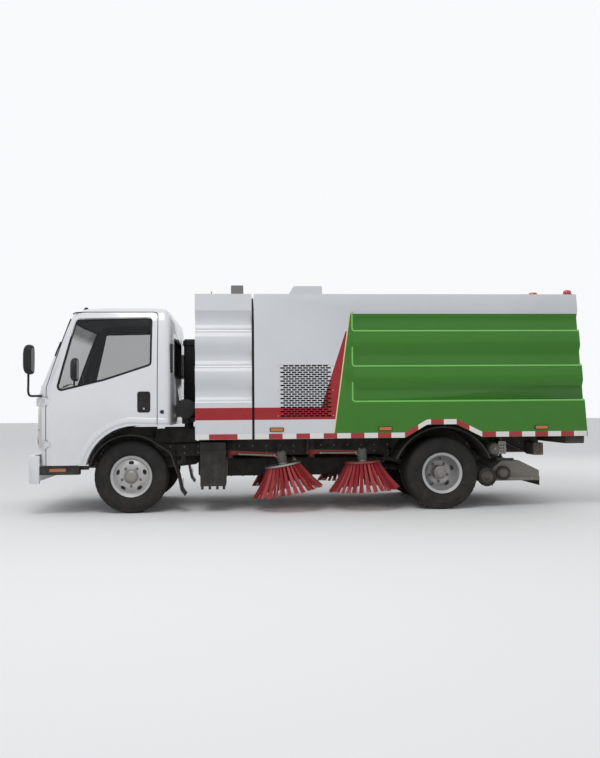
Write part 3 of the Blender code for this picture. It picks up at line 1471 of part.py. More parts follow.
def hopper():
    side_view = (
        (HOPPER_FRONT, BODY_BOTTOM + SEAT_GAP),
        (ARCH_CUT_FRONT, BODY_BOTTOM + SEAT_GAP),
        (ARCH_FLAT_FRONT, ARCH_CUT_TOP),
        (ARCH_FLAT_REAR, ARCH_CUT_TOP),
        (ARCH_CUT_REAR, BODY_BOTTOM + SEAT_GAP),
        (tail_x(BODY_BOTTOM), BODY_BOTTOM + SEAT_GAP),
        (tail_x(BODY_TOP), BODY_TOP),
        (HOPPER_FRONT, BODY_TOP),
    )
    body = prism("hopper", side_view, -BODY_HALF_WIDTH, BODY_HALF_WIDTH, "Y")
    floor_top = HOPPER_FLOOR + FLOOR_THICKNESS
    roof = BODY_TOP - ROOF_THICKNESS
    inside = BODY_HALF_WIDTH - WALL_THICKNESS
    load = prism(
        "load",
        (
            (BULKHEAD_REAR, floor_top),
            (tail_x(floor_top) + OVERRUN, floor_top),
            (tail_x(roof) + OVERRUN, roof),
            (BULKHEAD_REAR, roof),
        ),
        -inside,
        inside,
        "Y",
    )
    fan = block("fan", (HOPPER_FRONT + SKIRT_THICKNESS, -inside, floor_top), (BULKHEAD_FRONT, inside, roof))
    under_half = BODY_HALF_WIDTH - SKIRT_THICKNESS
    under = block(
        "under",
        (HOPPER_FRONT + SKIRT_THICKNESS, -under_half, BODY_BOTTOM - OVERRUN),
        (SILL_FRONT, under_half, HOPPER_FLOOR),
    )
    cut(body, load, fan, under)
    for name, side in SIDES:
        for index in range(GROOVE_COUNT):
            cut(body, groove(side, index, GROOVE_FRONT, HOPPER_TAIL_BOTTOM + OVERRUN, GROOVE_END_SLOPE))
        pocket = blocks_both_sides(
            "pocket",
            (GRILLE_FRONT, inside - OVERRUN, GRILLE_BOTTOM),
            (GRILLE_REAR, BODY_HALF_WIDTH + OVERRUN, GRILLE_TOP),
            side,
        )
        cut(body, pocket)
        runner = blocks_both_sides(
            "runner",
            (RUNNER_FRONT, RAIL_IN, BODY_BOTTOM + SEAT_GAP),
            (SILL_FRONT + OVERRUN, RAIL_OUT, HOPPER_FLOOR + FLOOR_THICKNESS / 2),
            side,
        )
        join(body, runner)
        lug_low, lug_high = sorted((side * PIVOT_LUG_IN, side * PIVOT_LUG_OUT))
        lug = block(
            "lug",
            (PIVOT_X - PIVOT_LUG, lug_low, PIVOT_Z),
            (PIVOT_X + PIVOT_LUG, lug_high, HOPPER_FLOOR + FLOOR_THICKNESS / 2),
        )
        eye = turned(
            "eye",
            ((lug_low, 0), (lug_low, PIVOT_LUG), (lug_high, PIVOT_LUG), (lug_high, 0)),
            (PIVOT_X, 0, PIVOT_Z),
        )
        join(lug, eye)
        join(body, lug)
        reach = side * (PIVOT_LUG_IN - OVERRUN)
        bore = cylinder(
            "bore", (PIVOT_X, reach, PIVOT_Z), (PIVOT_X, side * RAIL_IN, PIVOT_Z), bore_radius(PIVOT_PIN)
        )
        cut(body, bore)
        ear = blocks_both_sides(
            "ear",
            (ROD_EYE_X - EYE_RADIUS, EYE_HALF_WIDTH + EAR_CLEARANCE, ROD_EYE_Z - EYE_RADIUS),
            (ROD_EYE_X + EYE_RADIUS, ROD_EAR_OUT, HOPPER_FLOOR + FLOOR_THICKNESS / 2),
            side,
        )
        join(body, ear)
    sill = prism(
        "sill",
        (
            (SILL_FRONT, SILL_LOW),
            (tail_x(BODY_BOTTOM) - OVERRUN / 2, SILL_LOW),
            (tail_x(BODY_BOTTOM) - OVERRUN / 4, HOPPER_FLOOR),
            (SILL_FRONT, HOPPER_FLOOR),
        ),
        -SILL_HALF_WIDTH,
        SILL_HALF_WIDTH,
        "Y",
    )
    join(body, sill)
    hinge_x, hinge_z = tailgate_hinge()
    for side in (-1, 1):
        start = (hinge_x, side * (inside - OVERRUN), hinge_z)
        end = (hinge_x, side * (inside + TRUNNION_REACH + PIN_GAP), hinge_z)
        cut(body, cylinder("bore", start, end, bore_radius(TRUNNION_RADIUS)))
    mouth_low = (DUCT_X, 0, HOPPER_FLOOR - OVERRUN)
    mouth_high = (DUCT_X, 0, floor_top + OVERRUN)
    return cut(body, cylinder("mouth", mouth_low, mouth_high, DUCT_RADIUS - DUCT_WALL, WHEEL_STEPS))


def outlet_cowl():
    """The raised outlet of the fan on the hopper's roof, with a sloping front."""
    return prism(
        "outlet_cowl",
        (
            (COWL_FRONT, BODY_TOP + SEAT_GAP),
            (COWL_FRONT + COWL_SLOPE, BODY_TOP + COWL_RISE),
            (COWL_REAR, BODY_TOP + COWL_RISE),
            (COWL_REAR, BODY_TOP + SEAT_GAP),
        ),
        -COWL_HALF_WIDTH,
        COWL_HALF_WIDTH,
        "Y",
    )


def tailgate_hinge():
    """The station and height of the axis that the rear door swings about."""
    high = tailgate_top()
    return tail_x(high) - TAILGATE_THICKNESS / 2, high - TAILGATE_HINGE_DROP


def tailgate_top():
    return BODY_TOP - ROOF_THICKNESS - TAILGATE_TOP_GAP


def tailgate():
    """The rear door that closes the load space, hung between the side walls from its top edge."""
    low = HOPPER_FLOOR + FLOOR_THICKNESS + RUN_GAP
    high = tailgate_top()
    half = BODY_HALF_WIDTH - WALL_THICKNESS - RUN_GAP
    outline = (
        (tail_x(low) - TAILGATE_THICKNESS, low),
        (tail_x(low), low),
        (tail_x(high), high),
        (tail_x(high) - TAILGATE_THICKNESS, high),
    )
    gate = prism("tailgate", outline, -half, half, "Y")
    x, z = tailgate_hinge()
    for side in (-1, 1):
        start = (x, side * (half - OVERRUN), z)
        end = (x, side * (half + RUN_GAP + TRUNNION_REACH), z)
        join(gate, cylinder("trunnion", start, end, TRUNNION_RADIUS))
    return gate


def beacon():
    low = BODY_TOP + SEAT_GAP
    profile = [(BEACON_RISE * rise, BEACON_RADIUS * out) for rise, out in BEACON_SHARES]
    return turned("beacon", profile, (BEACON_X, 0, low), (0, 0, 1), PLATE_STEPS)


def cylinder_line():
    start = Vector((BARREL_FOOT_X, 0, BARREL_FOOT_Z))
    run = Vector((ROD_EYE_X - BARREL_FOOT_X, 0, ROD_EYE_Z - BARREL_FOOT_Z))
    return start, run.normalized(), run.length


def tip_barrel():
    start, run, length = cylinder_line()
    bore_end = length - ROD_IN_BARREL - RUN_GAP
    barrel = turned(
        "tip_barrel",
        (
            (BARREL_START, 0),
            (BARREL_START, BARREL_RADIUS),
            (BARREL_LENGTH, BARREL_RADIUS),
            (BARREL_LENGTH, ROD_RADIUS + PIN_GAP),
            (bore_end, ROD_RADIUS + PIN_GAP),
            (bore_end, 0),
        ),
        start,
        run,
        ROUND_STEPS,
    )
    hole = bore_radius(EYE_RADIUS / 2)
    eye = turned(
        "eye",
        (
            (-EYE_HALF_WIDTH, hole),
            (-EYE_HALF_WIDTH, EYE_RADIUS),
            (EYE_HALF_WIDTH, EYE_RADIUS),
            (EYE_HALF_WIDTH, hole),
        ),
        start,
        (0, 1, 0),
        WHEEL_STEPS,
    )
    shank_start = start + run * (EYE_RADIUS - ARM_EAR / 2)
    shank = bar("shank", shank_start, start + run * (BARREL_START + EYE_RADIUS), BARREL_SHANK, BARREL_SHANK)
    return join(barrel, shank, eye)


def tip_rod():
    start, run, length = cylinder_line()
    end = start + run * length
    rod = cylinder("tip_rod", end - run * ROD_IN_BARREL, end, ROD_RADIUS)
    width = Vector((0, EYE_HALF_WIDTH, 0))
    return join(rod, cylinder("eye", end - width, end + width, EYE_RADIUS))


def brush_axis(tilt):
    lean = math.radians(tilt)
    return Vector((-math.sin(lean), 0, math.cos(lean)))


def brush_arm(row, side, name):
    brush_x, pin_x, plate_z = BRUSH_PLACES[row]
    pin = Vector((pin_x, side * ARM_PIN_Y, ARM_PIN_Z))
    axis = pin_axis(side)
    centre = Vector((brush_x, side * BRUSH_Y, plate_z))
    up = brush_axis(BRUSH_TILTS[row])
    arm = cylinder(
        f"brush_arm_{BRUSH_NAMES[row]}_{name}",
        centre + up * (HUB_HEIGHT + PIN_GAP),
        centre + up * (HUB_HEIGHT + MOTOR_HEIGHT),
        MOTOR_RADIUS,
    )
    join(arm, bar("beam", pin, centre + up * (HUB_HEIGHT + MOTOR_GRIP), ARM_WIDTH, ARM_HEIGHT))
    clear = pin_gauge(pin, axis)
    cut(arm, *clear)
    join(arm, cylinder("boss", pin - axis * ARM_BOSS_HALF, pin + axis * ARM_BOSS_HALF, ARM_BOSS_RADIUS))
    reach = axis * (ARM_BOSS_HALF + OVERRUN)
    return cut(arm, cylinder("bore", pin - reach, pin + reach, bore_radius(ARM_PIN_RADIUS)))


def pin_gauge(pin, axis):
    """Room above and below a boss, where the bracket's two ears stand."""
    near = ARM_BOSS_HALF
    far = ARM_BOSS_HALF + ARM_EAR * 3
    radius = EAR_ROOM_RADIUS
    return (
        cylinder("room", pin + axis * near, pin + axis * far, radius),
        cylinder("room", pin - axis * far, pin - axis * near, radius),
    )


def disc_brush(row, side, name):
    """A plate with bunches of bristle that flare out and down to the tips."""
    brush_x, pin_x, plate_z = BRUSH_PLACES[row]
    centre = Vector((brush_x, side * BRUSH_Y, plate_z))
    up = brush_axis(BRUSH_TILTS[row])
    plate = turned(
        f"brush_{BRUSH_NAMES[row]}_{name}",
        (
            (HUB_HEIGHT, 0),
            (HUB_HEIGHT, MOTOR_RADIUS),
            (0, MOTOR_RADIUS),
            (0, PLATE_RADIUS),
            (-PLATE_THICKNESS, PLATE_RADIUS),
            (-PLATE_THICKNESS, 0),
        ),
        centre,
        up,
        PLATE_STEPS,
    )
    across = Vector((0, 1, 0))
    along = across.cross(up)
    corners = []
    faces = []
    root_level = -PLATE_THICKNESS / 2
    for i in range(BUNCH_COUNT):
        turn = 2 * math.pi * (i + 0.5) / BUNCH_COUNT
        out = math.cos(turn) * along + math.sin(turn) * across
        beside = math.cos(turn) * across - math.sin(turn) * along
        first = len(corners)
        for radius, level, half in (
            (BUNCH_ROOT_RADIUS, root_level, BUNCH_ROOT_HALF),
            (BUNCH_TIP_RADIUS, root_level - BUNCH_LENGTH, BUNCH_TIP_HALF),
        ):
            for a, b in ((-1, -1), (1, -1), (1, 1), (-1, 1)):
                corners.append(
                    centre + out * (radius + b * BUNCH_HALF_DEPTH) + up * level + beside * a * half
                )
        for face in ((0, 1, 2, 3), (4, 5, 6, 7), (0, 1, 5, 4), (1, 2, 6, 5), (2, 3, 7, 6), (3, 0, 4, 7)):
            faces.append(tuple(first + corner for corner in face))
    return join(plate, solid("bunches", corners, faces))


def suction_nozzle():
    """A hood open at its foot, with its collar, its guide rods and the axles of its wheels."""
    half = NOZZLE_HALF_WIDTH
    top = NOZZLE_OUTLINE[2][1]
    hood = prism("suction_nozzle", NOZZLE_OUTLINE, -half, half, "Y")
    low = (DUCT_X, 0, top - 2 * NOZZLE_WALL)
    join(hood, cylinder("collar", low, (DUCT_X, 0, COLLAR_TOP), COLLAR_RADIUS, WHEEL_STEPS))
    for side in (-1, 1):
        y = side * GUIDE_Y
        join(hood, cylinder("rod", (DUCT_X, y, top - NOZZLE_WALL / 2), (DUCT_X, y, GUIDE_TOP), GUIDE_RADIUS))
        arm_x, arm_z = NOZZLE_WHEELS[0][:2]
        join(hood, blocks_both_sides(
            "wheel_arm",
            (arm_x - 2 * NOZZLE_AXLE, half - NOZZLE_WALL / 4, arm_z - 2 * NOZZLE_AXLE),
            (NOZZLE_OUTLINE[0][0] + 4 * NOZZLE_WALL, half + NOZZLE_WALL / 2, arm_z + 2 * NOZZLE_AXLE),
            side,
        ))
        for x, z, radius in NOZZLE_WHEELS:
            start = (x, side * (half - NOZZLE_WALL / 2), z)
            end = (x, side * (NOZZLE_WHEEL_OUT - NOZZLE_WALL / 2), z)
            join(hood, cylinder("axle", start, end, NOZZLE_AXLE))
    inner = grown(NOZZLE_OUTLINE, -NOZZLE_WALL)
    foot = NOZZLE_OUTLINE[0][1] - OVERRUN
    inner = [(a, foot if b < NOZZLE_OUTLINE[0][1] + 2 * NOZZLE_WALL else b) for a, b in inner]
    cut(hood, prism("mouth", inner, -half + NOZZLE_WALL, half - NOZZLE_WALL, "Y"))
    throat_low = (DUCT_X, 0, top - OVERRUN)
    throat_high = (DUCT_X, 0, COLLAR_TOP + OVERRUN)
    return cut(hood, cylinder("throat", throat_low, throat_high, COLLAR_RADIUS - DUCT_WALL, WHEEL_STEPS))


def nozzle_wheel(row, side, name):
    x, z, radius = NOZZLE_WHEELS[row]
    wide = NOZZLE_WHEEL_OUT - NOZZLE_WHEEL_IN
    profile = (
        (0, NOZZLE_AXLE + PIN_GAP),
        (0, radius - NOZZLE_AXLE / 2),
        (NOZZLE_AXLE / 2, radius),
        (wide - NOZZLE_AXLE / 2, radius),
        (wide, radius - NOZZLE_AXLE / 2),
        (wide, radius * WHEEL_DISC_SHARE),
        (wide + NOZZLE_AXLE / 2, radius * WHEEL_HUB_SHARE),
        (wide + NOZZLE_AXLE / 2, 0),
        (wide - NOZZLE_AXLE / 2 + PIN_GAP, 0),
        (wide - NOZZLE_AXLE / 2 + PIN_GAP, NOZZLE_AXLE + PIN_GAP),
    )
    centre = (x, side * NOZZLE_WHEEL_IN, z)
    wheel_name = f"nozzle_wheel_{NOZZLE_WHEEL_NAMES[row]}_{name}"
    return turned(wheel_name, profile, centre, (0, side, 0), ROUND_STEPS)


def suction_duct():
    top = (DUCT_X, 0, HOPPER_FLOOR - SEAT_GAP)
    duct = cylinder("suction_duct", (DUCT_X, 0, DUCT_LOW), top, DUCT_RADIUS, WHEEL_STEPS)
    half = RAIL_IN - SEAT_GAP
    join(duct, block(
        "flange",
        (FLANGE_FRONT, -half, RAIL_TOP + SEAT_GAP),
        (FLANGE_REAR, half, RAIL_TOP + FLANGE_THICKNESS),
    ))
    reach = Vector((0, 0, OVERRUN))
    low = Vector((DUCT_X, 0, DUCT_LOW)) - reach
    high = Vector((DUCT_X, 0, HOPPER_FLOOR)) + reach
    return cut(duct, cylinder("bore", low, high, DUCT_RADIUS - DUCT_WALL, WHEEL_STEPS))


def finish(piece, slot, origin=None):
    """Gives a piece its paint and, if it moves, its origin on its joint's axis."""
    colour, roughness, metallic = FINISHES[slot]
    material = bpy.data.materials.get(slot) or bpy.data.materials.new(slot)
    material.use_nodes = True
    shader = material.node_tree.nodes["Principled BSDF"]
    shader.inputs["Base Color"].default_value = (*colour, 1)
    shader.inputs["Roughness"].default_value = roughness
    shader.inputs["Metallic"].default_value = metallic
    piece.data.materials.clear()
    piece.data.materials.append(material)
    piece.data.polygons.foreach_set("material_index", [0] * len(piece.data.polygons))
    if origin:
        move = Vector(origin)
        for corner in piece.data.vertices:
            corner.co -= move
        piece.location = move
    return piece


def build_chassis():
    finish(chassis_frame(), "frame_black")
    finish(sub_frame(), "frame_black")
    finish(front_axle(), "frame_black")
    finish(rear_axle(), "frame_black")
    finish(engine_block(), "frame_black")
    finish(driveline(), "frame_black")
    finish(front_bumper(), "white_paint")
    finish(battery_box(), "plastic_black")
    finish(fuel_tank(), "frame_black")
    for name, side in SIDES:
        finish(front_mudguard(name, side), "plastic_black")
        finish(rear_mudguard(name, side), "plastic_black")


def build_wheels():
    arm_z = TYRE_RADIUS - BEAM_HALF_HEIGHT - EAR_THICKNESS
    finish(tie_rod(), "frame_black", (STEER_ARM_LENGTH, -STEER_EYE_Y, arm_z))
    for name, side in SIDES:
        finish(knuckle(name, side), "frame_black", (0, side * KINGPIN_Y, TYRE_RADIUS))
        front = (0, side * FRONT_WHEEL_Y, TYRE_RADIUS)
        finish(front_rim(name, side), "silver_paint", front)
        finish(tyre(f"front_tyre_{name}", 0, side * FRONT_WHEEL_Y), "tyre_rubber", front)
        rear = (WHEELBASE, side * REAR_WHEEL_Y, TYRE_RADIUS)
        finish(rear_rim(name, side), "silver_paint", rear)
        for place, offset in (("outer", TWIN_HALF_SPACING), ("inner", -TWIN_HALF_SPACING)):
            piece = tyre(f"rear_tyre_{place}_{name}", WHEELBASE, side * (REAR_WHEEL_Y + offset))
            finish(piece, "tyre_rubber", rear)


def build_cab():
    hinge = (TILT_X, 0, TILT_Z)
    finish(cab_shell(), "white_paint", hinge)
    finish(lamp_bar(), "lamp_lens", hinge)
    finish(windscreen(), "glass", hinge)
    finish(rear_window(), "glass", hinge)
    finish(dashboard(), "interior_grey", hinge)
    finish(seats(), "interior_grey", hinge)
    for name, side in SIDES:
        finish(mirror(name, side), "plastic_black", hinge)
        door_hinge = (DOOR_OUTLINE[0][0], side * DOOR_HINGE_Y, CAB_BOTTOM)
        finish(door(name, side), "white_paint", door_hinge)
        finish(door_glass(name, side), "glass", door_hinge)


def build_body():
    finish(equipment_housing(), "white_paint")
    finish(vent_box(), "steel_grey")
    pivot = (PIVOT_X, 0, PIVOT_Z)
    finish(hopper(), "green_paint", pivot)
    hinge_x, hinge_z = tailgate_hinge()
    finish(tailgate(), "green_paint", (hinge_x, 0, hinge_z))
    finish(outlet_cowl(), "white_paint", pivot)
    finish(beacon(), "beacon_red", pivot)
    finish(tip_barrel(), "steel_grey", (BARREL_FOOT_X, 0, BARREL_FOOT_Z))
    finish(tip_rod(), "silver_paint", (ROD_EYE_X, 0, ROD_EYE_Z))


def build_sweeping_gear():
    for name, side in SIDES:
        for row, (brush_x, pin_x, plate_z) in enumerate(BRUSH_PLACES):
            pin = (pin_x, side * ARM_PIN_Y, ARM_PIN_Z)
            finish(brush_arm(row, side, name), "red_paint", pin)
            finish(disc_brush(row, side, name), "bristle_red", (brush_x, side * BRUSH_Y, plate_z))
        for row, (wheel_x, wheel_z, radius) in enumerate(NOZZLE_WHEELS):
            finish(nozzle_wheel(row, side, name), "tyre_rubber", (wheel_x, side * NOZZLE_WHEEL_IN, wheel_z))
    finish(suction_nozzle(), "steel_grey", (DUCT_X, 0, NOZZLE_OUTLINE[0][1]))
    finish(suction_duct(), "plastic_black")


def move_to_origin():
    shift = Vector((FRONT_OVERHANG - OVERALL_LENGTH / 2, 0, 0))
    for piece in bpy.data.objects:
        piece.location += shift


clear_scene()
build_chassis()
build_wheels()
build_cab()
build_body()
build_sweeping_gear()
move_to_origin()
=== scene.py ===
# Looks of a light cab-over street sweeper truck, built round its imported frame.
# Metres, +X to the rear, +Y to the truck's right, +Z up.

import json
import math

import bmesh
import bpy
from mathutils import Matrix, Vector
from mathutils.bvhtree import BVHTree

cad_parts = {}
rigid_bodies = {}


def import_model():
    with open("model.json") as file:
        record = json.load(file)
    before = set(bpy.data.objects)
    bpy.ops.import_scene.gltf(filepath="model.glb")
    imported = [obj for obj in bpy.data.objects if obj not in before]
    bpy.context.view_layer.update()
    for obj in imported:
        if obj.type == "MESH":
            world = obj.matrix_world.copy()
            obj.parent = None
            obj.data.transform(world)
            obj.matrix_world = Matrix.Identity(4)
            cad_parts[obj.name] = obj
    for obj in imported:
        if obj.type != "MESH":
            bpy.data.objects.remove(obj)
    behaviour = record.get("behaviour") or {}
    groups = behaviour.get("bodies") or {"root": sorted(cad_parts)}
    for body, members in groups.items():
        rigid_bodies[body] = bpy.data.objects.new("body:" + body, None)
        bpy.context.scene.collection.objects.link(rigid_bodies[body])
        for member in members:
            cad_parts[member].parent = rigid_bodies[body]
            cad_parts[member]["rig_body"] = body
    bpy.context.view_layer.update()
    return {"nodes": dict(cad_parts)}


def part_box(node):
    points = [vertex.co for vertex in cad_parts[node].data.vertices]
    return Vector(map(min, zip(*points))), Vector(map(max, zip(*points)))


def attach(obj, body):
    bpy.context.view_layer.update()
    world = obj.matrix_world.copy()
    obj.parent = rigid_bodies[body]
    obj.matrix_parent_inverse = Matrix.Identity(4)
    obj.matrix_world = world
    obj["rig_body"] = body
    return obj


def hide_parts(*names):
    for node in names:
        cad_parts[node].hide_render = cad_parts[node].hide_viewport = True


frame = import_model()
nodes = frame["nodes"]

# Floor and light. A wide pale floor and an even pale sky stand for a white studio, with one
# broad lamp high on the near side and a weaker one behind.
work = bmesh.new()
bmesh.ops.create_grid(work, x_segments=1, y_segments=1, size=60)
floor_mesh = bpy.data.meshes.new("floor")
work.to_mesh(floor_mesh)
work.free()
floor = bpy.data.objects.new("floor", floor_mesh)
bpy.context.scene.collection.objects.link(floor)
floor_paint = bpy.data.materials.new("floor_paint")
floor_paint.use_nodes = True
shader = floor_paint.node_tree.nodes["Principled BSDF"]
shader.inputs["Roughness"].default_value = 0.9
shader.inputs["Specular IOR Level"].default_value = 0.1
noise = floor_paint.node_tree.nodes.new("ShaderNodeTexNoise")
noise.inputs["Scale"].default_value = 0.6
ramp = floor_paint.node_tree.nodes.new("ShaderNodeValToRGB")
ramp.color_ramp.elements[0].color = (0.86, 0.86, 0.87, 1)
ramp.color_ramp.elements[1].color = (0.9, 0.9, 0.9, 1)
floor_paint.node_tree.links.new(noise.outputs["Fac"], ramp.inputs["Fac"])
floor_paint.node_tree.links.new(ramp.outputs["Color"], shader.inputs["Base Color"])
floor_mesh.materials.append(floor_paint)

world = bpy.data.worlds.new("studio")
world.use_nodes = True
sky = world.node_tree.nodes["Background"]
sky.inputs["Color"].default_value = (0.97, 0.98, 1, 1)
rays = world.node_tree.nodes.new("ShaderNodeLightPath")
seen = rays.outputs["Is Camera Ray"]
for other in ("Is Glossy Ray", "Is Transmission Ray"):
    either = world.node_tree.nodes.new("ShaderNodeMath")
    either.operation = "MAXIMUM"
    world.node_tree.links.new(seen, either.inputs[0])
    world.node_tree.links.new(rays.outputs[other], either.inputs[1])
    seen = either.outputs[0]
level = world.node_tree.nodes.new("ShaderNodeMapRange")
level.inputs["To Min"].default_value = 0.66
level.inputs["To Max"].default_value = 0.97
world.node_tree.links.new(seen, level.inputs["Value"])
world.node_tree.links.new(level.outputs["Result"], sky.inputs["Strength"])
bpy.context.scene.world = world
bpy.context.scene.view_settings.view_transform = "Standard"


def area_lamp(name, place, target, size, power):
    lamp = bpy.data.lights.new(name, "AREA")
    lamp.size = size
    lamp.energy = power
    item = bpy.data.objects.new(name, lamp)
    bpy.context.scene.collection.objects.link(item)
    item.location = place
    item.rotation_euler = (Vector(target) - Vector(place)).to_track_quat("-Z", "Y").to_euler()


area_lamp("key", (-2.0, -6.0, 8.0), (0, 0, 1.2), 3.5, 260)
area_lamp("fill", (6.0, 5.5, 6.0), (0, 0, 1.2), 6.0, 80)

# Camera. It stands level with the axles' height on the truck's left, a little in front of the
# middle and turned a few degrees to the rear, as fitted to the outline in the photograph.
camera_data = bpy.data.cameras.new("camera")
camera_data.sensor_fit = "VERTICAL"
camera_data.sensor_height = 36
focal_length, frame_height = 801.6, 758
camera_data.lens = focal_length / frame_height * camera_data.sensor_height
camera_data.clip_end = 200
camera = bpy.data.objects.new("camera", camera_data)
bpy.context.scene.collection.objects.link(camera)
heading, pitch, roll = (math.radians(angle) for angle in (-3.82, 92.05, -0.45))
turn = Matrix.Rotation(heading, 3, "Z") @ Matrix.Rotation(pitch, 3, "X") @ Matrix.Rotation(roll, 3, "Z")
camera.location = (-0.70, -9.551, 1.116)
camera.rotation_euler = turn.to_euler()
bpy.context.scene.camera = camera

# Chassis. Two pressed channel rails with crossmembers, the axles with their leaf springs,
# the engine and drive line, all sprayed in one satin black. Road dust lies on every paint of
# the truck, thicker towards the ground, from one shader group.
weathered = bpy.data.node_groups.new("weathered", "ShaderNodeTree")
for socket_name, kind, value in (
    ("Color", "NodeSocketColor", (0.5, 0.5, 0.5, 1)),
    ("Dust", "NodeSocketFloat", 0.2),
    ("Grain", "NodeSocketFloat", 300.0),
    ("Relief", "NodeSocketFloat", 0.05),
    ("Roughness", "NodeSocketFloat", 0.4),
):
    socket = weathered.interface.new_socket(name=socket_name, in_out="INPUT", socket_type=kind)
    socket.default_value = value
for socket_name, kind in (
    ("Color", "NodeSocketColor"),
    ("Roughness", "NodeSocketFloat"),
    ("Normal", "NodeSocketVector"),
):
    weathered.interface.new_socket(name=socket_name, in_out="OUTPUT", socket_type=kind)


def tree_tools(tree):
    """Short ways to add and link nodes in one shader tree."""

    def add(kind, **settings):
        node = tree.nodes.new(kind)
        for key, value in settings.items():
            setattr(node, key, value)
        return node

    def feed(socket, value):
        if hasattr(value, "is_output"):
            tree.links.new(value, socket)
        else:
            socket.default_value = value

    def maths(operation, one, two=0.0, three=0.0):
        node = add("ShaderNodeMath", operation=operation)
        for socket, value in zip(node.inputs, (one, two, three)):
            feed(socket, value)
        return node.outputs[0]

    def mixed(share, one, two, blend="MIX"):
        node = add("ShaderNodeMix", data_type="RGBA", blend_type=blend)
        feed(node.inputs[0], share)
        feed(node.inputs[6], one)
        feed(node.inputs[7], two)
        return node.outputs[2]

    def noise_of(place, scale, detail=4.0, rough=0.55):
        node = add("ShaderNodeTexNoise")
        feed(node.inputs["Vector"], place)
        feed(node.inputs["Scale"], scale)
        node.inputs["Detail"].default_value = detail
        node.inputs["Roughness"].default_value = rough
        return node.outputs["Fac"]

    return add, feed, maths, mixed, noise_of


add, feed, maths, mixed, noise_of = tree_tools(weathered)
inside = add("NodeGroupInput")
outside = add("NodeGroupOutput")
place = add("ShaderNodeTexCoord").outputs["Object"]
apart = add("ShaderNodeSeparateXYZ")
feed(apart.inputs[0], place)
broad = noise_of(place, 1.7)
patchy = noise_of(place, 9.0, 6.0, 0.65)
fine = noise_of(place, inside.outputs["Grain"], 2.0)
low = maths("SUBTRACT", 1.15, apart.outputs["Z"])
low = maths("MULTIPLY", maths("MAXIMUM", low, 0.0), 1.1)
cover = maths("MULTIPLY", maths("ADD", low, 0.18), maths("MULTIPLY", patchy, patchy))
cover = maths("MINIMUM", maths("MULTIPLY", cover, maths("MULTIPLY", inside.outputs["Dust"], 3.4)), 0.85)
tone = maths("ADD", 0.93, maths("MULTIPLY", broad, 0.14))
grey = add("ShaderNodeCombineColor")
for channel in range(3):
    feed(grey.inputs[channel], tone)
colour = mixed(1.0, inside.outputs["Color"], grey.outputs[0], "MULTIPLY")
colour = mixed(cover, colour, (0.23, 0.205, 0.17, 1))
feed(outside.inputs["Color"], colour)
rough = maths("ADD", inside.outputs["Roughness"], maths("MULTIPLY", cover, 0.45))
uneven = maths("ADD", maths("MULTIPLY", inside.outputs["Relief"], 0.4), 0.012)
rough = maths("ADD", rough, maths("MULTIPLY", maths("SUBTRACT", fine, 0.5), uneven))
feed(outside.inputs["Roughness"], maths("MINIMUM", maths("MAXIMUM", rough, 0.03), 1.0))
bump = add("ShaderNodeBump")
feed(bump.inputs["Strength"], inside.outputs["Relief"])
bump.inputs["Distance"].default_value = 0.002
feed(bump.inputs["Height"], fine)
feed(outside.inputs["Normal"], bump.outputs[0])


def surface(name, colour, rough=0.4, dust=0.2, grain=300.0, relief=0.05, metal=0.0, coat=0.0, gloss=0.5):
    """A material whose colour, roughness and relief come from the weathering group."""
    material = bpy.data.materials.new(name)
    material.use_nodes = True
    tree = material.node_tree
    shader = tree.nodes["Principled BSDF"]
    shader.inputs["Metallic"].default_value = metal
    shader.inputs["Coat Weight"].default_value = coat
    shader.inputs["Coat Roughness"].default_value = 0.08
    shader.inputs["Specular IOR Level"].default_value = gloss
    group = tree.nodes.new("ShaderNodeGroup")
    group.node_tree = weathered
    for key, value in (("Dust", dust), ("Grain", grain), ("Relief", relief), ("Roughness", rough)):
        group.inputs[key].default_value = value
    if len(colour) == 3:
        group.inputs["Color"].default_value = (*colour, 1)
    tree.links.new(group.outputs["Color"], shader.inputs["Base Color"])
    tree.links.new(group.outputs["Roughness"], shader.inputs["Roughness"])
    tree.links.new(group.outputs["Normal"], shader.inputs["Normal"])
    return material, tree, group


def plain(*settings, **more):
    return surface(*settings, **more)[0]


frame_black = plain("chassis_paint", (0.015, 0.015, 0.016), 0.6, 0.40, 180.0, 0.25, gloss=0.25)
steel_zinc = plain("zinc_plate", (0.42, 0.40, 0.36), 0.42, 0.3, 350.0, 0.15, 0.75)


def place_node(name, material):
    """Gives a CAD node that shows as it is its own finish."""
    node = nodes[name]
    node.data.materials.clear()
    node.data.materials.append(material)
    for face in node.data.polygons:
        face.material_index = 0


def soften(piece, angle=28, bevel=0.0, segments=2):
    mesh = piece.data
    mesh.polygons.foreach_set("use_smooth", [True] * len(mesh.polygons))
    mesh.set_sharp_from_angle(angle=math.radians(angle))
    if bevel:
        step = piece.modifiers.new("soft_edges", "BEVEL")
        step.width = bevel
        step.segments = segments
        step.limit_method = "ANGLE"
        step.angle_limit = math.radians(angle)
        step.harden_normals = True


def piece_from(name, body, work, materials, angle=30, bevel=0.0):
    """An object from built mesh data, riding on a body."""
    mesh = bpy.data.meshes.new(name)
    bmesh.ops.recalc_face_normals(work, faces=work.faces)
    work.to_mesh(mesh)
    work.free()
    for material in materials:
        mesh.materials.append(material)
    piece = bpy.data.objects.new(name, mesh)
    bpy.context.scene.collection.objects.link(piece)
    soften(piece, angle, bevel)
    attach(piece, body)
    return piece


def add_faces(work, corners, faces, paint=0):
    made = [work.verts.new(corner) for corner in corners]
    for face in faces:
        work.faces.new([made[i] for i in face]).material_index = paint


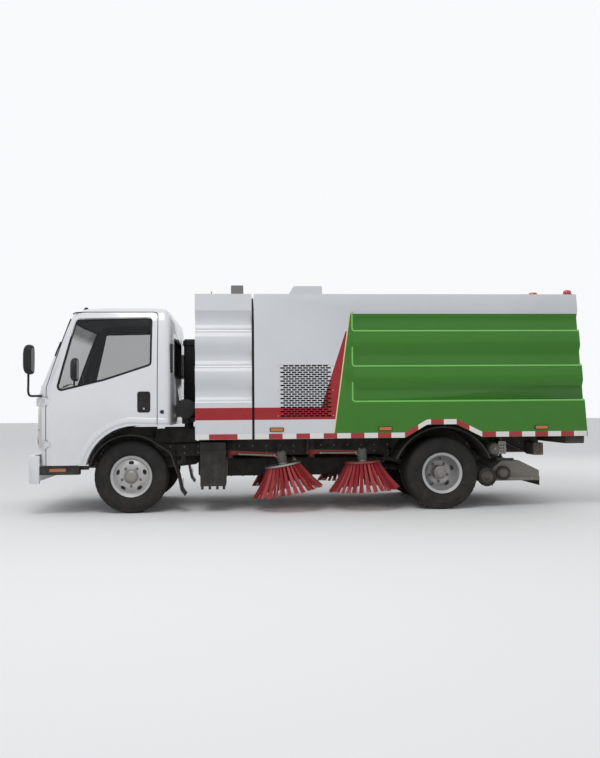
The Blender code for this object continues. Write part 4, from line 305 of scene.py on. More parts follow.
def add_box(work, low, high, paint=0):
    low = [min(a, b) for a, b in zip(low, high)], [max(a, b) for a, b in zip(low, high)]
    corners = [(low[i & 1][0], low[i >> 1 & 1][1], low[i >> 2][2]) for i in range(8)]
    faces = ((0, 2, 3, 1), (4, 5, 7, 6), (0, 1, 5, 4), (2, 6, 7, 3), (0, 4, 6, 2), (1, 3, 7, 5))
    add_faces(work, corners, faces, paint)


def add_turned(work, profile, centre, axis, steps=32, paint=0, closed=False):
    """Turns (along, radius) points about an axis; an end off the axis gets a flat cap."""
    axis = Vector(axis).normalized()
    up = Vector((0, 0, 1)) if abs(axis.z) < 0.9 else Vector((1, 0, 0))
    side = axis.cross(up).normalized()
    third = axis.cross(side)
    rings = []
    for along, radius in profile:
        middle = Vector(centre) + axis * along
        if radius == 0:
            rings.append([work.verts.new(middle)] * steps)
            continue
        ring = []
        for i in range(steps):
            angle = 2 * math.pi * i / steps
            ring.append(work.verts.new(middle + radius * (math.cos(angle) * side + math.sin(angle) * third)))
        rings.append(ring)
    pairs = list(zip(rings, rings[1:]))
    if closed:
        pairs.append((rings[-1], rings[0]))
    for one, two in pairs:
        for i in range(steps):
            j = (i + 1) % steps
            face = []
            for corner in (one[i], one[j], two[j], two[i]):
                if corner not in face:
                    face.append(corner)
            if len(face) > 2:
                work.faces.new(face).material_index = paint
    if not closed:
        for ring, (along, radius) in ((rings[0], profile[0]), (rings[-1], profile[-1])):
            if radius:
                work.faces.new(ring).material_index = paint


def add_stud(work, shape, place, way, steps, paint=0):
    """A bolt head or button: its radius and height, and its crown's height and radius."""
    radius, height, top, top_radius = shape
    add_turned(work, ((0, radius), (height, radius), (top, top_radius)), place, way, steps, paint)


def join_rings(work, rings, paint=0):
    """Skins a row of closed rings of points with four-sided faces."""
    for one, two in zip(rings, rings[1:]):
        for k in range(len(one)):
            j = (k + 1) % len(one)
            work.faces.new((one[k], one[j], two[j], two[k])).material_index = paint


def add_tube(work, points, radius, steps=10, paint=0):
    """A round tube along points, with its ends closed."""
    points = [Vector(point) for point in points]
    rings = []
    across = None
    for i, point in enumerate(points):
        run = (points[min(i + 1, len(points) - 1)] - points[max(i - 1, 0)]).normalized()
        if across is None:
            across = run.orthogonal().normalized()
        across = (across - run * across.dot(run)).normalized()
        third = run.cross(across)
        rings.append([
            work.verts.new(point + radius * (
                math.cos(2 * math.pi * k / steps) * across + math.sin(2 * math.pi * k / steps) * third
            ))
            for k in range(steps)
        ])
    join_rings(work, rings, paint)
    work.faces.new(rings[0]).material_index = paint
    work.faces.new(rings[-1]).material_index = paint


def smooth_line(points, steps=6):
    """A smooth curve through points."""
    points = [Vector(point) for point in points]
    padded = [points[0] * 2 - points[1]] + points + [points[-1] * 2 - points[-2]]
    result = []
    for i in range(1, len(padded) - 2):
        a, b, c, d = padded[i - 1:i + 3]
        for k in range(steps):
            t = k / steps
            result.append(0.5 * (
                2 * b + (c - a) * t + (2 * a - 5 * b + 4 * c - d) * t * t + (3 * b - a - 3 * c + d) * t ** 3
            ))
    result.append(points[-1])
    return result


for name in (
    "chassis_frame", "sub_frame", "front_axle", "rear_axle", "driveline", "tie_rod", "knuckle_left",
    "knuckle_right"
):
    place_node(name, frame_black)
place_node("engine_block", plain("cast_engine", (0.05, 0.05, 0.052), 0.6, 0.6, 90.0, 0.5, 0.2))

front_axle_x = -1.9375
wheelbase = 3.36


def spot(station, side, height):
    """A point given by its distance behind the front axle, its side and its height."""
    return Vector((front_axle_x + station, side, height))


work = bmesh.new()
low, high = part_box("chassis_frame")
rail_y = 0.375
for side in (-1, 1):
    for i in range(34):
        x = low.x + 0.30 + i * 0.155
        for z in (0.615, 0.685):
            add_stud(work, (0.009, 0.004, 0.006, 0.006), (x, side * rail_y, z), (0, side, 0), 6)
piece_from("rail_bolts", "chassis", work, [steel_zinc])

work = bmesh.new()
for axle in (front_axle_x, front_axle_x + wheelbase):
    for side in (-1, 1):
        y = side * 0.345
        top = 0.50 if axle < 0 else 0.47
        for x in (axle - 0.055, axle + 0.055):
            add_tube(work, smooth_line((
                (x, y - 0.036, 0.30), (x, y - 0.036, top), (x, y, top + 0.03), (x, y + 0.036, top),
                (x, y + 0.036, 0.30)
            )), 0.008, 8)
        add_box(work, (axle - 0.075, y - 0.05, 0.318), (axle + 0.075, y + 0.05, 0.332))
piece_from("spring_bolts", "chassis", work, [frame_black], bevel=0.002)

# Battery box on the left. A ribbed black plastic cover over the batteries, on two steel
# brackets, with four short feet below it.
black_plastic = plain("black_moulding", (0.012, 0.012, 0.013), 0.55, 0.16, 900.0, 0.35, gloss=0.25)

battery_low, battery_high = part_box("battery_box")
place_node("battery_box", black_plastic)
work = bmesh.new()
y = battery_low.y
for i in range(7):
    x = battery_low.x + 0.022 + i * (battery_high.x - battery_low.x - 0.044) / 6
    add_box(work, (x - 0.006, y - 0.008, battery_low.z + 0.03), (x + 0.006, y + 0.004, battery_high.z - 0.12))
add_box(
    work, (battery_low.x - 0.004, y - 0.012, battery_high.z - 0.10),
    (battery_high.x + 0.004, y + 0.1, battery_high.z - 0.085)
)
for x in (battery_low.x + 0.02, battery_low.x + 0.10, battery_high.x - 0.09, battery_high.x - 0.02):
    add_box(work, (x - 0.014, y + 0.01, battery_low.z - 0.035), (x + 0.014, y + 0.04, battery_low.z + 0.01))
add_stud(
    work, (0.020, 0.014, 0.018, 0.015), (battery_low.x + 0.13, y, battery_high.z - 0.045), (0, -1, 0), 20
)
piece_from("battery_box_ribs", "chassis", work, [black_plastic], bevel=0.002)

# Fuel tank on the right. A pressed steel tank, painted black, held by two steel straps over
# rubber, with a screw cap at its upper front corner.


def refined(name, material, angle=28, bevel=0.0, segments=2):
    """A smooth copy of a CAD node's own shape that stands for it, with softened edges."""
    source = nodes[name]
    mesh = source.data.copy()
    work = bmesh.new()
    work.from_mesh(mesh)
    bmesh.ops.remove_doubles(work, verts=work.verts, dist=0.00005)
    bmesh.ops.dissolve_limit(
        work, angle_limit=math.radians(0.6), verts=work.verts, edges=work.edges, delimit={"NORMAL"}
    )
    work.to_mesh(mesh)
    work.free()
    mesh.materials.clear()
    mesh.materials.append(material)
    mesh.polygons.foreach_set("material_index", [0] * len(mesh.polygons))
    piece = bpy.data.objects.new(name + "_skin", mesh)
    bpy.context.scene.collection.objects.link(piece)
    soften(piece, angle, bevel, segments)
    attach(piece, source["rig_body"])
    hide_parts(name)
    return piece


def rounded(outline, radius, steps=5):
    """An outline with its corners rounded, each by an arc of the given radius."""
    result = []
    for i, point in enumerate(outline):
        here = Vector(point)
        before = (Vector(outline[i - 1]) - here).normalized()
        after = (Vector(outline[(i + 1) % len(outline)]) - here).normalized()
        half = before.angle(after) / 2
        middle = here + (before + after).normalized() * (radius / math.sin(half))
        one = here + before * (radius / math.tan(half)) - middle
        two = here + after * (radius / math.tan(half)) - middle
        sweep = one.angle_signed(two)
        for k in range(steps + 1):
            angle = -sweep * k / steps
            result.append((
                middle.x + one.x * math.cos(angle) - one.y * math.sin(angle),
                middle.y + one.x * math.sin(angle) + one.y * math.cos(angle),
            ))
    return result


tank_low, tank_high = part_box("fuel_tank")
refined("fuel_tank", frame_black, 28)


def plate_line(low_a, low_b, high_a, high_b, radius, steps=5):
    """The outline of a plate with four rounded corners."""
    return rounded(((low_a, low_b), (high_a, low_b), (high_a, high_b), (low_a, high_b)), radius, steps)


work = bmesh.new()
for x in (tank_low.x + 0.085, tank_high.x - 0.085):
    outer = plate_line(0.437, 0.287, 0.923, 0.723, 0.063, 6)
    inner = plate_line(0.4405, 0.2905, 0.9195, 0.7195, 0.0598, 6)
    count = len(outer)
    corners = [(px, a, b) for px in (x - 0.02, x + 0.02) for a, b in list(outer) + list(inner)]
    faces = []
    for i in range(count):
        j = (i + 1) % count
        o, n = 0, 2 * count
        faces += [(o + i, o + j, n + j, n + i), (o + count + i, n + count + i, n + count + j, o + count + j)]
        faces += [(o + i, o + count + i, o + count + j, o + j), (n + i, n + j, n + count + j, n + count + i)]
    add_faces(work, corners, faces)
add_turned(
    work, ((0, 0.042), (0.025, 0.042), (0.025, 0.05), (0.045, 0.05), (0.05, 0.044)),
    (tank_low.x + 0.05, 0.80, 0.719), (0, 0, 1), 24,
)
piece_from("fuel_tank_straps", "chassis", work, [steel_zinc], bevel=0.001)

# Water tanks. Two long black moulded tanks for the spray water lie under the rails, one each
# side of the propeller shaft, ribbed against bulging and held by steel straps.


def add_prism(work, outline, low, high, along="Y", paint=0):
    ways = {
        "X": lambda a, b, c: (c, a, b),
        "Y": lambda a, b, c: (a, c, b),
        "Z": lambda a, b, c: (a, b, c),
    }
    count = len(outline)
    corners = [ways[along](a, b, c) for c in (low, high) for a, b in outline]
    faces = [tuple(range(count)), tuple(range(count, 2 * count))]
    faces += [(i, (i + 1) % count, (i + 1) % count + count, i + count) for i in range(count)]
    add_faces(work, corners, faces, paint)


both_sides = (("left", -1), ("right", 1))
for name, side in both_sides:
    work = bmesh.new()
    shape = plate_line(0.180, 0.345, 0.358, 0.555, 0.030, 5)
    add_prism(work, [(side * a, b) for a, b in shape], spot(0.700, 0, 0).x, spot(2.785, 0, 0).x, "X")
    for i in range(15):
        x = -1.14 + i * 0.131
        rib = plate_line(0.176, 0.341, 0.362, 0.559, 0.034, 5)
        add_prism(work, [(side * a, b) for a, b in rib], x - 0.012, x + 0.012, "X")
    for x in (-0.94, -0.155, 0.63):
        strap = plate_line(0.174, 0.339, 0.364, 0.561, 0.036, 5)
        add_prism(work, [(side * a, b) for a, b in strap], x - 0.018, x + 0.018, "X", 1)
    piece_from("water_tank_" + name, "chassis", work, [black_plastic, steel_zinc], 30, 0.003)

# Gear behind the cab. A black steel arch on the rails carries the cab's rear rubbers, the air
# cleaner and its raised intake; black sheets on the rails shield the engine's sides.


def grown(outline, distance):
    """A closed outline with each edge moved out by a distance."""
    count = len(outline)
    area = sum(outline[i - 1][0] * outline[i][1] - outline[i][0] * outline[i - 1][1] for i in range(count))
    way = 1 if area > 0 else -1
    result = []
    for i in range(count):
        here = Vector(outline[i])
        before = (here - Vector(outline[i - 1])).normalized()
        after = (Vector(outline[(i + 1) % count]) - here).normalized()
        out_before = Vector((before.y, -before.x)) * way
        out_after = Vector((after.y, -after.x)) * way
        middle = out_before + out_after
        result.append(tuple(here + middle * (distance * 2 / middle.length_squared)))
    return result


work = bmesh.new()
for side in (-1, 1):
    add_box(work, (-1.402, side * 0.345, 0.735), (-1.352, side * 0.395, 0.965))
    sheet = rounded(((-1.765, 0.735), (-1.265, 0.735), (-1.265, 0.895), (-1.70, 0.895)), 0.020, 4)
    add_prism(work, sheet, side * 0.400, side * 0.404, "Y")
    add_turned(
        work, ((0, 0.045), (0.012, 0.045), (0.016, 0.036), (0.030, 0.036)), (-1.377, side * 0.55, 1.004),
        (0, 0, 1), 24
    )
add_box(work, (-1.407, -0.70, 0.950), (-1.347, 0.70, 1.004))
piece_from("cab_support_arch", "chassis", work, [frame_black], 30, 0.004)
work = bmesh.new()
centre = (-1.362, -0.40, 1.115)
profile = [(0.0, 0.060), (0.010, 0.088), (0.020, 0.094)]
for i in range(5):
    profile += [
        (0.05 + i * 0.07, 0.094), (0.056 + i * 0.07, 0.099), (0.068 + i * 0.07, 0.099),
        (0.074 + i * 0.07, 0.094)
    ]
profile += [(0.410, 0.094), (0.412, 0.103), (0.436, 0.103), (0.440, 0.080), (0.446, 0.030), (0.446, 0.0)]
add_turned(work, profile, centre, (0, -1, 0), 40, 0)
shape = plate_line(-1.486, 0.585, -1.335, 0.865, 0.030, 5)
rings = []
for z, grow in ((1.006, 0.0), (1.02, 0.006), (1.90, 0.0), (1.915, 0.012), (1.965, 0.010), (1.990, -0.012)):
    rings.append([work.verts.new((a, b, z)) for a, b in grown(shape, grow)])
join_rings(work, rings)
work.faces.new(rings[0])
work.faces.new(rings[-1])
for i in range(11):
    z = 1.09 + i * 0.07
    add_box(work, (-1.4895, 0.620, z), (-1.4835, 0.830, z + 0.012))
add_tube(work, smooth_line((
    (-1.395, 0.640, 1.075), (-1.390, 0.480, 1.085), (-1.375, 0.200, 1.110), (-1.365, -0.150, 1.115),
    (-1.362, -0.405, 1.115)
), 6), 0.052, 20)
for y in (-0.52, -0.74):
    add_box(work, (-1.392, y - 0.02, 1.000), (-1.332, y + 0.02, 1.030))
piece_from("air_intake", "chassis", work, [black_plastic], 32, 0.001)

# Front bumper. Painted pressed steel that wraps round the corners, with a black lower air
# opening, two fog lamps and a bare place for the number plate.
white_paint = plain("white_body_paint", (0.70, 0.71, 0.73), 0.22, 0.08, 14.0, 0.004, 0.0, 0.6)
rubber_black = plain("rubber_trim", (0.009, 0.009, 0.009), 0.6, 0.10, 500.0, 0.2, gloss=0.25)


def cut_away(piece, cutter):
    """Cuts a piece with a closed body, which is used up, and keeps the result."""
    step = piece.modifiers.new("cut", "BOOLEAN")
    step.operation = "DIFFERENCE"
    step.solver = "EXACT"
    step.object = cutter
    bpy.context.view_layer.update()
    seen = piece.evaluated_get(bpy.context.evaluated_depsgraph_get())
    piece.data = bpy.data.meshes.new_from_object(seen)
    piece.modifiers.clear()
    bpy.data.objects.remove(cutter, do_unlink=True)


def cutter_from(work):
    """A closed body that is only used to cut another."""
    bmesh.ops.recalc_face_normals(work, faces=work.faces)
    mesh = bpy.data.meshes.new("cutter")
    work.to_mesh(mesh)
    work.free()
    cutter = bpy.data.objects.new("cutter", mesh)
    bpy.context.scene.collection.objects.link(cutter)
    return cutter


bumper_skin = refined("front_bumper", white_paint, 28, 0.006, 3)
low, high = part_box("front_bumper")

for place, wide in ((None, 0.43), (-0.62, 0.055), (0.62, 0.055)):
    work = bmesh.new()
    if place is None:
        slot_line = plate_line(-wide, 0.392, wide, 0.468, 0.014, 4)
        add_prism(work, slot_line, low.x - 0.02, low.x + 0.016, "X")
    else:
        add_turned(work, ((-0.02, wide), (0.018, wide)), (low.x, place, 0.435), (1, 0, 0), 36)
    cut_away(bumper_skin, cutter_from(work))
soften(bumper_skin, 30)
work = bmesh.new()
add_box(work, (low.x + 0.0145, -0.425, 0.396), (low.x + 0.0165, 0.425, 0.464), 0)
for i in range(4):
    z = 0.401 + i * 0.0165
    add_box(work, (low.x + 0.003, -0.424, z), (low.x + 0.015, 0.424, z + 0.006), 1)
for side in (-1, 1):
    add_turned(
        work, ((0.0178, 0.0535), (0.001, 0.0535), (0.001, 0.046), (0.010, 0.044), (0.012, 0.0)),
        (low.x, side * 0.62, 0.435), (1, 0, 0), 36, 1,
    )
    add_turned(
        work, ((0.012, 0.043), (0.006, 0.042), (0.003, 0.030), (0.002, 0.0)),
        (low.x, side * 0.62, 0.435), (1, 0, 0), 36, 2,
    )
fog_lens = plain("clear_lens", (0.62, 0.63, 0.64), 0.12, 0.08, 60.0, 0.2)
piece_from("bumper_fittings", "chassis", work, [rubber_black, black_plastic, fog_lens], bevel=0.001)

# Front mudguards. Black moulded plastic bolted to the frame, each with the cab's lower side
# step in front, an orange reflector let into the step and a rubber flap behind the wheel.
reflector_orange = plain("orange_reflector", (0.42, 0.12, 0.02), 0.2, 0.1, 700.0, 0.35, 0.0, 0.5)
for name, side in both_sides:
    refined("front_mudguard_" + name, black_plastic, 28, 0.003)
    work = bmesh.new()
    low, high = sorted((side * 0.972, side * 0.976))
    outline = plate_line(-2.765, 0.462, -2.595, 0.496, 0.008, 3)
    add_prism(work, outline, low, high, "Y", 0)
    for i in range(9):
        x = -2.755 + i * 0.019
        add_box(work, (x, side * 0.976, 0.466), (x + 0.007, side * 0.9775, 0.492), 0)
    for x in (-2.82, -2.66, -2.50):
        add_stud(work, (0.008, 0.003, 0.005, 0.004), (x, side * 0.972, 0.442), (0, side, 0), 10, 1)
    for i in range(5):
        y = side * (0.67 + i * 0.055)
        add_box(work, spot(0.531, y - 0.004, 0.25) + Vector((0.0155, 0, 0)), spot(0.545, y + 0.004, 0.36), 1)
    piece_from("front_step_fittings_" + name, "chassis", work, [reflector_orange, rubber_black], bevel=0.0008)

# Rear mudguards. One arched strip of black plastic over each twin wheel, hung on two round
# arms from the frame and stiffened by a rolled outer edge.
arch = 0.548
for name, side in both_sides:
    refined("rear_mudguard_" + name, black_plastic, 28, 0.003)
    work = bmesh.new()
    for y in (side * 0.981, side * 0.505):
        line = []
        for i in range(21):
            angle = math.radians(22 + 136 * i / 20)
            line.append(spot(wheelbase + arch * math.cos(angle), y, 0.345 + arch * math.sin(angle)))
        add_tube(work, line, 0.007, 8)
    piece_from("rear_mudguard_edge_" + name, "chassis", work, [black_plastic])

# Wheels. Pressed steel disc wheels with five hand holes, painted silver; the front disc is
# crowned outwards with a round hub cap, the rear twin's is dished round a long hub.
silver_paint = plain("silver_wheel_paint", (0.46, 0.46, 0.465), 0.36, 0.14, 240.0, 0.12, 0.45)
hub_grey = plain("hub_cap_steel", (0.30, 0.30, 0.295), 0.35, 0.4, 240.0, 0.12, 0.6)
nut_steel = plain("wheel_nut_steel", (0.22, 0.20, 0.18), 0.45, 0.4, 400.0, 0.2, 0.8)


axle_height = 0.3925
front_track = 0.752
rear_track = 0.7125
twin_gap = 0.12


def rim_piece(node, body, centre, side, profile, vent_radius, vent_at, nut_at, nut_face, hub, drum):
    work = bmesh.new()
    add_turned(work, profile, centre, (0, side, 0), 64, 0, closed=True)
    rim = piece_from(node + "_pressed", body, work, [silver_paint], 32)
    vents = bmesh.new()
    for i in range(5):
        angle = math.radians(90 + 72 * i)
        outline = []
        for k in range(20):
            turn = 2 * math.pi * k / 20
            a, b = vent_radius * 0.64 * math.cos(turn), vent_radius * math.sin(turn)
            outline.append((
                centre[0] + (vent_at + a) * math.cos(angle) - b * math.sin(angle),
                centre[2] + (vent_at + a) * math.sin(angle) + b * math.cos(angle),
            ))
        add_prism(vents, outline, centre[1] - side * 0.02, centre[1] + side * 0.13, "Y")
    cut_away(rim, cutter_from(vents))
    soften(rim, 32)
    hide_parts(node)
    work = bmesh.new()
    add_turned(work, drum, centre, (0, side, 0), 48, 0, closed=True)
    piece_from(node + "_drum", body, work, [frame_black], 30)
    work = bmesh.new()
    add_turned(work, hub, centre, (0, side, 0), 40, 0)
    for i in range(5):
        angle = math.radians(54 + 72 * i)
        place = (
            centre[0] + nut_at * math.cos(angle), centre[1] + side * nut_face,
            centre[2] + nut_at * math.sin(angle)
        )
        add_turned(
            work, ((0, 0.017), (0.004, 0.017), (0.004, 0.0145), (0.018, 0.0145), (0.020, 0.012)), place,
            (0, side, 0), 6, 1
        )
        add_turned(work, ((0.018, 0.008), (0.028, 0.008), (0.029, 0.006)), place, (0, side, 0), 12, 1)
    piece_from(node + "_hub", body, work, [hub_grey, nut_steel], 30)


front_profile = (
    (0.074, 0.030), (0.076, 0.085), (0.0785, 0.096), (0.0785, 0.118), (0.073, 0.142), (0.062, 0.160),
    (0.053, 0.172),
    (0.052, 0.179), (0.058, 0.186), (0.068, 0.191), (0.073, 0.199), (0.0745, 0.210), (0.078, 0.216),
    (0.080, 0.220),
    (0.078, 0.2222), (0.0705, 0.2222), (0.070, 0.2035), (0.045, 0.2035), (0.030, 0.196), (-0.030, 0.196),
    (-0.045, 0.2035), (-0.070, 0.2035), (-0.070, 0.2222), (-0.080, 0.2222), (-0.080, 0.193), (-0.040, 0.186),
    (0.030, 0.186), (0.043, 0.179), (0.044, 0.170), (0.053, 0.155), (0.064, 0.137), (0.0695, 0.116),
    (0.069, 0.085),
    (0.060, 0.078), (-0.030, 0.078), (-0.030, 0.030),
)
front_hub = (
    (0.060, 0.079), (0.078, 0.079), (0.080, 0.077), (0.081, 0.066), (0.094, 0.063), (0.101, 0.055),
    (0.105, 0.040),
    (0.1065, 0.020), (0.107, 0.0),
)
rear_profile = (
    (0.010, 0.046), (0.014, 0.050), (0.014, 0.118), (0.020, 0.132), (0.034, 0.150), (0.052, 0.165),
    (0.066, 0.176),
    (0.080, 0.184), (0.150, 0.187), (0.188, 0.192), (0.193, 0.199), (0.1945, 0.210), (0.198, 0.216),
    (0.200, 0.220),
    (0.198, 0.2222), (0.190, 0.2222), (0.190, 0.2035), (0.165, 0.2035), (0.150, 0.197), (0.100, 0.197),
    (0.075, 0.2035), (0.050, 0.2035), (0.050, 0.2222), (0.040, 0.2222), (0.040, 0.193), (0.030, 0.165),
    (0.004, 0.140), (0.001, 0.125), (-0.001, 0.125), (-0.004, 0.140), (-0.030, 0.165), (-0.040, 0.193),
    (-0.040, 0.2222), (-0.050, 0.2222), (-0.050, 0.2035), (-0.190, 0.2035), (-0.190, 0.2222),
    (-0.200, 0.2222),
    (-0.200, 0.193), (-0.080, 0.184), (-0.052, 0.165), (-0.014, 0.125), (-0.014, 0.046),
)
rear_hub = (
    (0.012, 0.078), (0.070, 0.076), (0.074, 0.072), (0.120, 0.068), (0.124, 0.062), (0.126, 0.052),
    (0.140, 0.050),
    (0.146, 0.044), (0.149, 0.020), (0.150, 0.0),
)
front_drum = ((0.016, 0.100), (0.030, 0.104), (0.034, 0.170), (0.018, 0.182), (0.010, 0.182), (0.012, 0.168))
rear_drum = (
    (-0.200, 0.060), (-0.190, 0.060), (-0.186, 0.172), (-0.196, 0.180), (-0.206, 0.180), (-0.204, 0.168)
)
for name, side in both_sides:
    rim_piece(
        "front_rim_" + name, "front_wheel_" + name, spot(0, side * front_track, axle_height), side,
        front_profile, 0.030, 0.148, 0.1025, 0.077, front_hub, front_drum
    )
    rim_piece(
        "rear_rim_" + name, "rear_wheel_" + name, spot(wheelbase, side * rear_track, axle_height), side,
        rear_profile, 0.030, 0.150, 0.104, 0.013, rear_hub, rear_drum
    )

# Tyres. Tubeless radial light-truck tyres: bulged sidewalls with moulded rings, four grooves
# round the tread and cut shoulders, dusty where they have rolled.
tyre_rubber = plain("tyre_rubber", (0.010, 0.010, 0.0105), 0.68, 0.07, 260.0, 0.3, gloss=0.22)
tread_profile = (
    (0.0695, 0.2035), (0.0705, 0.2225), (0.078, 0.226), (0.086, 0.236), (0.0925, 0.250), (0.0945, 0.252),
    (0.0965, 0.262), (0.0995, 0.285), (0.100, 0.305), (0.0995, 0.318), (0.1005, 0.321), (0.0985, 0.326),
    (0.096, 0.342), (0.0925, 0.356), (0.0945, 0.359), (0.090, 0.370), (0.084, 0.382), (0.075, 0.3895),
    (0.058, 0.3915), (0.056, 0.384), (0.048, 0.384), (0.046, 0.392), (0.024, 0.3925), (0.022, 0.384),
    (0.013, 0.384), (0.011, 0.3925),
)
tread_profile += tuple((-a, b) for a, b in tread_profile[::-1])


def tyre_piece(node, body, centre):
    work = bmesh.new()
    steps = 120
    add_turned(work, tread_profile, centre, (0, 1, 0), steps, 0, closed=True)
    middle = Vector(centre)
    for corner in work.verts:
        arm = Vector((corner.co.x - middle.x, 0, corner.co.z - middle.z))
        across = abs(corner.co.y - middle.y)
        if arm.length > 0.365 and across > 0.06:
            step = round((math.atan2(arm.z, arm.x) / (2 * math.pi) * steps)) % 3
            if step == 0:
                corner.co -= arm.normalized() * 0.007
    tyre = piece_from(node + "_moulded", body, work, [tyre_rubber], 34)
    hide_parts(node)


for name, side in both_sides:
    tyre_piece("front_tyre_" + name, "front_wheel_" + name, spot(0, side * front_track, axle_height))
    for place, offset in (("outer", twin_gap), ("inner", -twin_gap)):
        tyre_piece(
            "rear_tyre_" + place + "_" + name, "rear_wheel_" + name,
            spot(wheelbase, side * (rear_track + offset), axle_height)
        )

# Cab. Pressed steel panels welded into one shell and painted white, with two hung doors. The
# black rubber round the doors and the glass is pushed on to the flanges.
cab_skin = refined("cab_shell", white_paint, 30)
trim_grey = plain("grained_trim", (0.045, 0.046, 0.05), 0.65, 0.05, 700.0, 0.4)


def lined(piece, middle):
    """Gives the faces that look towards a point inside the cab their grey lining."""
    piece.data.materials.append(trim_grey)
    for face in piece.data.polygons:
        if face.normal.dot(face.center - middle) < 0:
            face.material_index = 1


lined(cab_skin, Vector((-2.20, 0, 1.45)))
for name in ("left", "right"):
    lined(refined("door_" + name, white_paint, 30), Vector((-2.20, 0, 1.45)))
glass_tint = plain("tinted_glass", (0.018, 0.026, 0.024), 0.04, 0.05, 30.0, 0.0)
glass_tint.node_tree.nodes["Principled BSDF"].inputs["Alpha"].default_value = 0.24
glass_tint.node_tree.nodes["Principled BSDF"].inputs["Specular IOR Level"].default_value = 0.4
for name in ("rear_window", "door_glass_left", "door_glass_right"):
    refined(name, glass_tint, 30)
screen_tint, tree, group = surface("screen_glass", (0.018, 0.026, 0.024), 0.04, 0.05, 30.0, 0.0)
tree.nodes["Principled BSDF"].inputs["Specular IOR Level"].default_value = 0.4
add, feed, maths, mixed, noise_of = tree_tools(tree)
apart = add("ShaderNodeSeparateXYZ")
feed(apart.inputs[0], add("ShaderNodeTexCoord").outputs["Object"])
band = maths("MULTIPLY", maths("SUBTRACT", apart.outputs["Z"], 1.905), 12.0)
band = maths("MINIMUM", maths("MAXIMUM", band, 0.0), 1.0)
feed(group.inputs["Color"], mixed(band, (0.018, 0.026, 0.024, 1), (0.0, 0.17, 0.13, 1)))
feed(tree.nodes["Principled BSDF"].inputs["Alpha"], maths("ADD", 0.20, maths("MULTIPLY", band, 0.40)))
refined("windscreen", screen_tint, 30)


def tree_of(*names):
    """One ray target made of some CAD nodes."""
    corners = []
    faces = []
    for name in names:
        mesh = nodes[name].data
        first = len(corners)
        corners += [corner.co.copy() for corner in mesh.vertices]
        faces += [[first + i for i in face.vertices] for face in mesh.polygons]
    return BVHTree.FromPolygons(corners, faces)


def spaced(outline, step=0.03):
    """A closed outline with points added so that none lie further apart than a step."""
    result = []
    for i, point in enumerate(outline):
        here, after = Vector(point), Vector(outline[(i + 1) % len(outline)])
        count = max(1, math.ceil((after - here).length / step))
        result += [tuple(here.lerp(after, k / count)) for k in range(count)]
    return result


def skin_band(work, target, outline, out, into, lift, sink, axis, way):
    """A closed band along an outline, laid on the skin that a ray along an axis meets."""
    line = spaced(outline)
    outer, inner = grown(line, out), grown(line, -into)
    rings = []
    for a, b in zip(outer, inner):
        if axis == "Y":
            start, run = Vector((a[0], -2 * way, a[1])), Vector((0, way, 0))
        else:
            start, run = Vector((-5 * way, a[0], a[1])), Vector((way, 0, 0))
        hit = target.ray_cast(start, run, 10)[0]
        depth = hit.y if axis == "Y" else hit.x
        ring = []
        for point, level in ((a, sink), (a, -lift * 0.6), (b, -lift), (b, sink)):
            where = depth + way * level
            ring.append(work.verts.new(
                (point[0], where, point[1]) if axis == "Y" else (where, point[0], point[1])
            ))
        rings.append(ring)
    join_rings(work, rings + rings[:1])


def moved(outline):
    """An outline given from the front axle, in the frame's own place."""
    return [(a + front_axle_x, b) for a, b in outline]


door_outline = moved(((-0.860, 0.5302), (-0.860, 1.345), (-0.622, 2.150), (0.290, 2.150), (0.290, 0.5302)))
window_outline = moved(((-0.757, 1.305), (-0.565, 2.075), (0.229, 2.090), (0.225, 1.585), (-0.260, 1.425)))
screen_outline = ((-0.850, 1.345), (-0.770, 2.080), (0.770, 2.080), (0.850, 1.345))
back_outline = ((-0.480, 1.480), (-0.480, 1.900), (0.480, 1.900), (0.480, 1.480))
for name, side in both_sides:
    target = tree_of("door_" + name)
    work = bmesh.new()
    skin_band(work, target, rounded(window_outline, 0.040, 6), 0.009, 0.012, 0.003, 0.016, "Y", -side)
    piece_from("window_seal_" + name, "door_" + name, work, [rubber_black], 50)
target = tree_of("cab_shell")
work = bmesh.new()
skin_band(work, target, rounded(screen_outline, 0.040, 6), 0.012, 0.014, 0.003, 0.018, "X", 1)
skin_band(work, target, rounded(back_outline, 0.040, 6), 0.012, 0.014, 0.003, 0.018, "X", -1)
piece_from("screen_seals", "cab", work, [rubber_black], 50)

# Door seals. A soft rubber section fills each shut line below the paint, so no light comes
# through the gap between the door and the pillars.
for name, side in both_sides:
    target = tree_of("door_" + name)
    work = bmesh.new()
    centre_line = []
    for x, z in spaced(grown(rounded(door_outline, 0.036, 5), 0.004), 0.04):
        in_arch = z < 0.95 and math.hypot(x + 1.8775, z - 0.415) < 0.56
        inside_x = x + (0.02 if x < -2.2 else -0.02)
        hit = target.ray_cast(Vector((inside_x, side * 2, min(z, 2.13))), Vector((0, -side, 0)), 10)[0]
        if hit is None or in_arch or (x > -1.85 and z < 0.96):
            centre_line.append(None)
        else:
            centre_line.append((x, hit.y - side * 0.020, z))
    start = next((i for i, point in enumerate(centre_line) if point is None), 0)
    runs = [[]]
    for point in centre_line[start:] + centre_line[:start]:
        if point is None:
            runs.append([])
        else:
            runs[-1].append(point)
    for run in runs:
        if len(run) > 2:
            add_tube(work, run, 0.0065, 6)
    piece_from("door_seal_" + name, "cab", work, [rubber_black])

